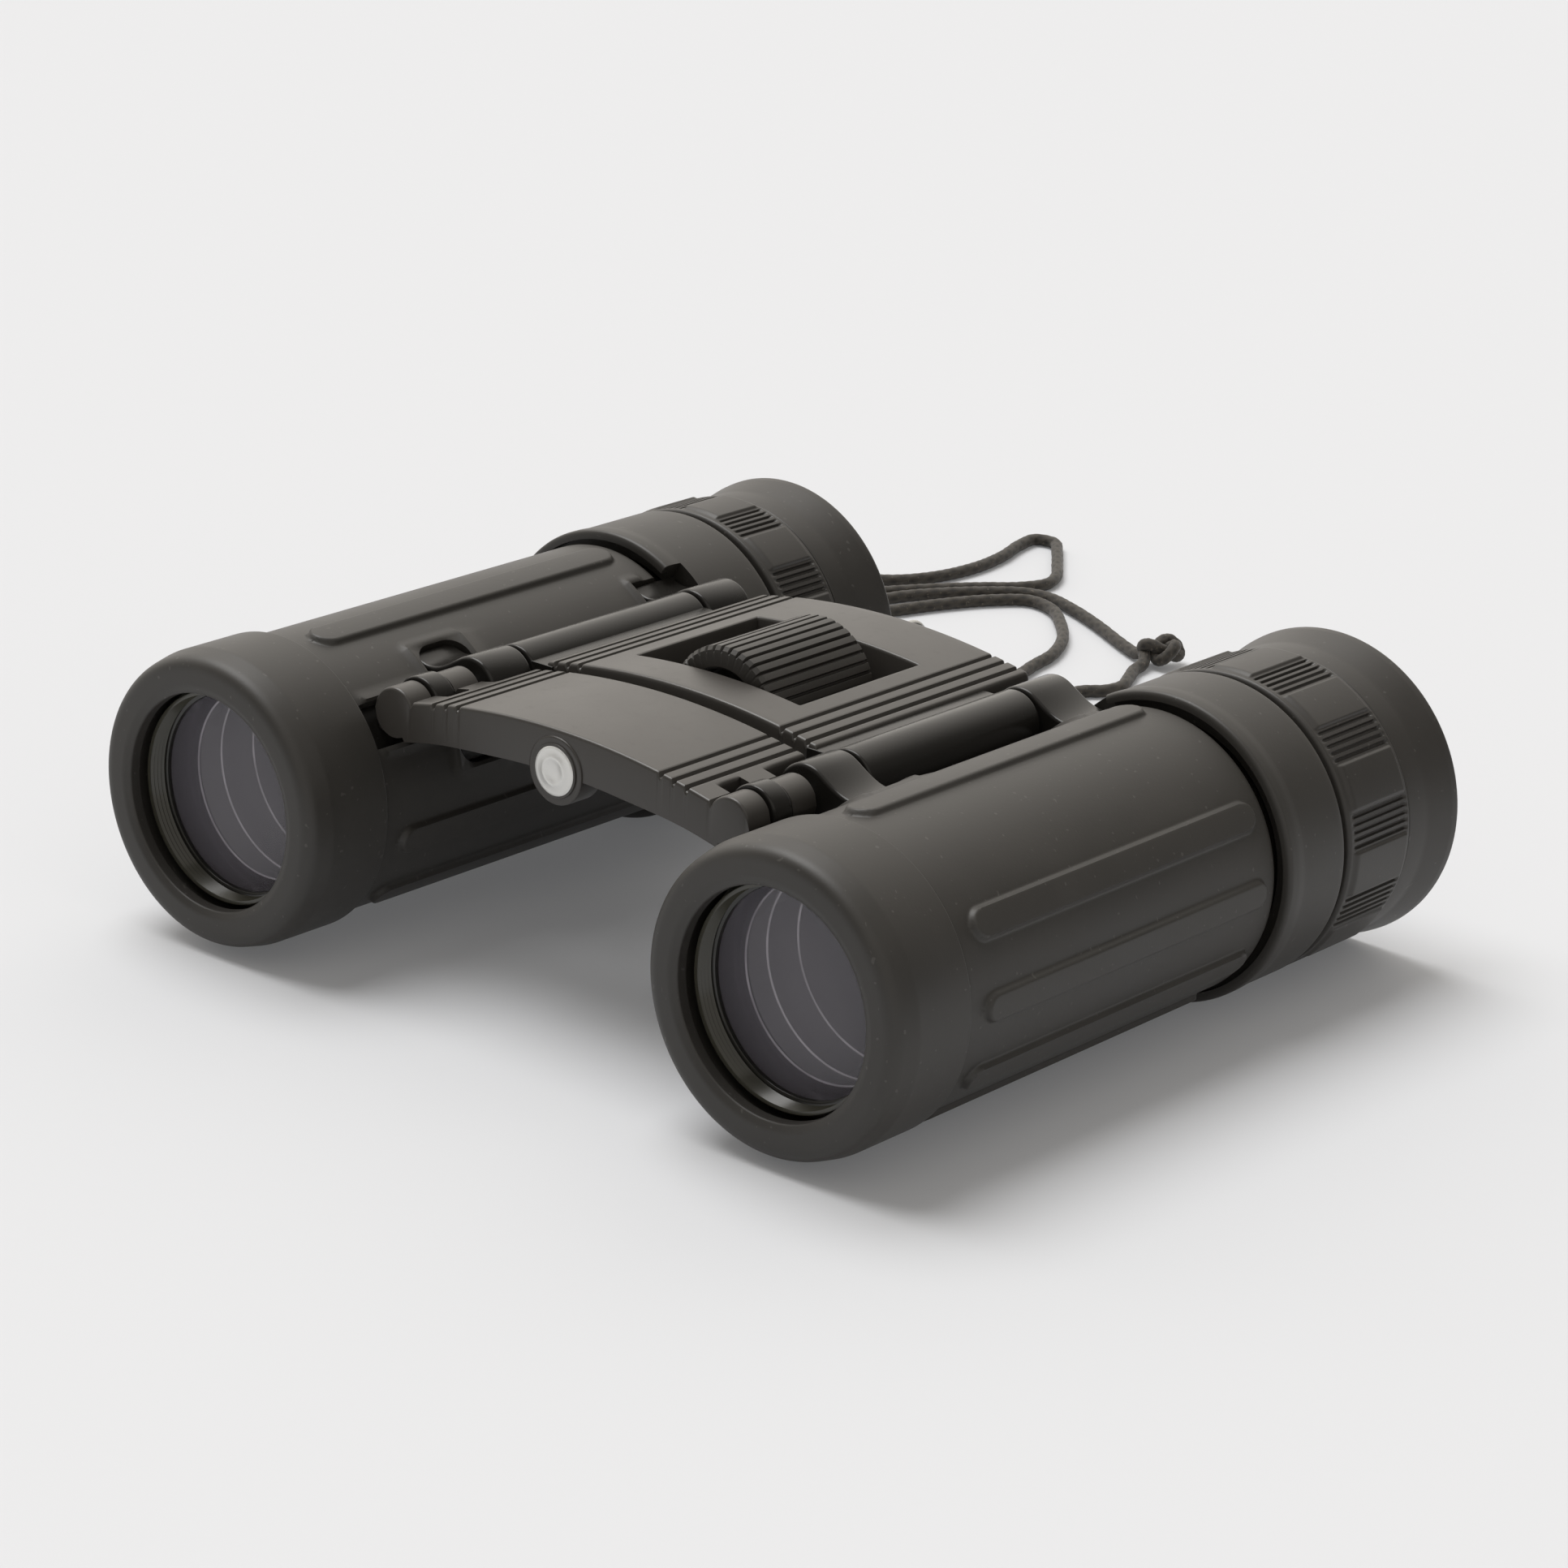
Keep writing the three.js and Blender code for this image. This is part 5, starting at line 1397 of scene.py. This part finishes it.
        def relief(a: np.ndarray, index: np.ndarray) -> np.ndarray:
            """The teeth's height at an angle, on the rim's points."""
            place = np.abs(np.mod(a * self.teeth / (2 * np.pi), 1.0) - 0.5)
            return 0.42 * smoothstep(0.06, 0.17, place) * carries[index]

        return turned(outline, (0.0, self.spindle_z), self.teeth * 16, relief)

    def eyelet(self) -> Surface:
        """The wire eyelet behind the bridge, its hole along x, on a short stem."""
        y, z = 65.6, self.datum.hinge_z + 0.7
        a = np.linspace(0, 2 * np.pi, 64, endpoint=False)[:, None]
        b = np.linspace(0, 2 * np.pi, 20, endpoint=False)[None]
        r = 1.7 + 0.6 * np.cos(b)
        points = np.stack([0.6 * np.sin(b) + 0 * a, y + r * np.cos(a), z + r * np.sin(a)], -1)
        eye = Surface(points.reshape(-1, 3), grid_faces(64, 20, True, True)).outward()
        stem = turned_solid(filleted([
            (0.02, 62.4, 0.0), (1.3, 62.4, 0.0), (1.3, 62.9, 0.2), (0.8, 63.0, 0.2), (0.8, 64.0, 0.0),
            (0.02, 64.0, 0.0),
        ], 3), (0.0, z), 40)
        return eye + stem

    def pin(self, side: float) -> Surface:
        """A hinge pin with a domed, riveted end behind."""
        outline = np.array([(0.02, 12.4), (1.3, 12.4), (1.3, 62.0), (1.75, 62.02), (1.7, 62.25),
                            (1.2, 62.5), (0.5, 62.6), (0.02, 62.62)])
        return turned_solid(outline, (side * self.datum.hinge_x, self.datum.hinge_z), 48)

    def build(self, shop: Workshop) -> None:
        """Makes all the bridge's pieces."""
        shop.add("front_arch", self.front_plate(), Finish.BRIDGE, "front_bridge", ["front_bridge"],
                 sharp=30.0)
        shop.add("nose_badge", self.badge(), Finish.BADGE, "front_bridge", ["badge"])
        shop.add("rear_arch", self.rear_plate(), Finish.BRIDGE, "bridge", ["rear_bridge"], sharp=30.0)
        shop.add("hinge_tubes", self.hinge_tubes(), Finish.CASING, "bridge")
        shop.add("knurled_wheel", self.focus_wheel(), Finish.WHEEL, "focus_wheel", ["focus_wheel"],
                 sharp=30.0)
        shop.add("eyelet", self.eyelet(), Finish.STEEL, "bridge", ["cord_eyelet"])
        for name, side in (("left", 1.0), ("right", -1.0)):
            shop.add(f"{name}_pin", self.pin(side), Finish.STEEL, "bridge", [f"{name}_hinge_pin"])
        shop.dress(["under_cover"], Finish.PLASTIC)
        shop.dress(["focus_spindle", *(f"cover_screw_{k}" for k in range(1, 5))], Finish.STEEL)


# ---- Main -------------------------------------------------------------------------------


def main() -> None:
    """Builds the scene, class by class."""
    logging.basicConfig(level=logging.INFO, format="%(message)s")
    for old in list(bpy.data.objects):
        bpy.data.objects.remove(old)
    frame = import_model()
    datum = Datum.from_frame(frame["joints"])
    Studio().build()
    shop = Workshop(datum)
    NeckCord().build(shop)
    for side in (1.0, -1.0):
        Barrel(side, datum).build(shop)
    Bridge(datum).build(shop)


if __name__ == "__main__":
    main()
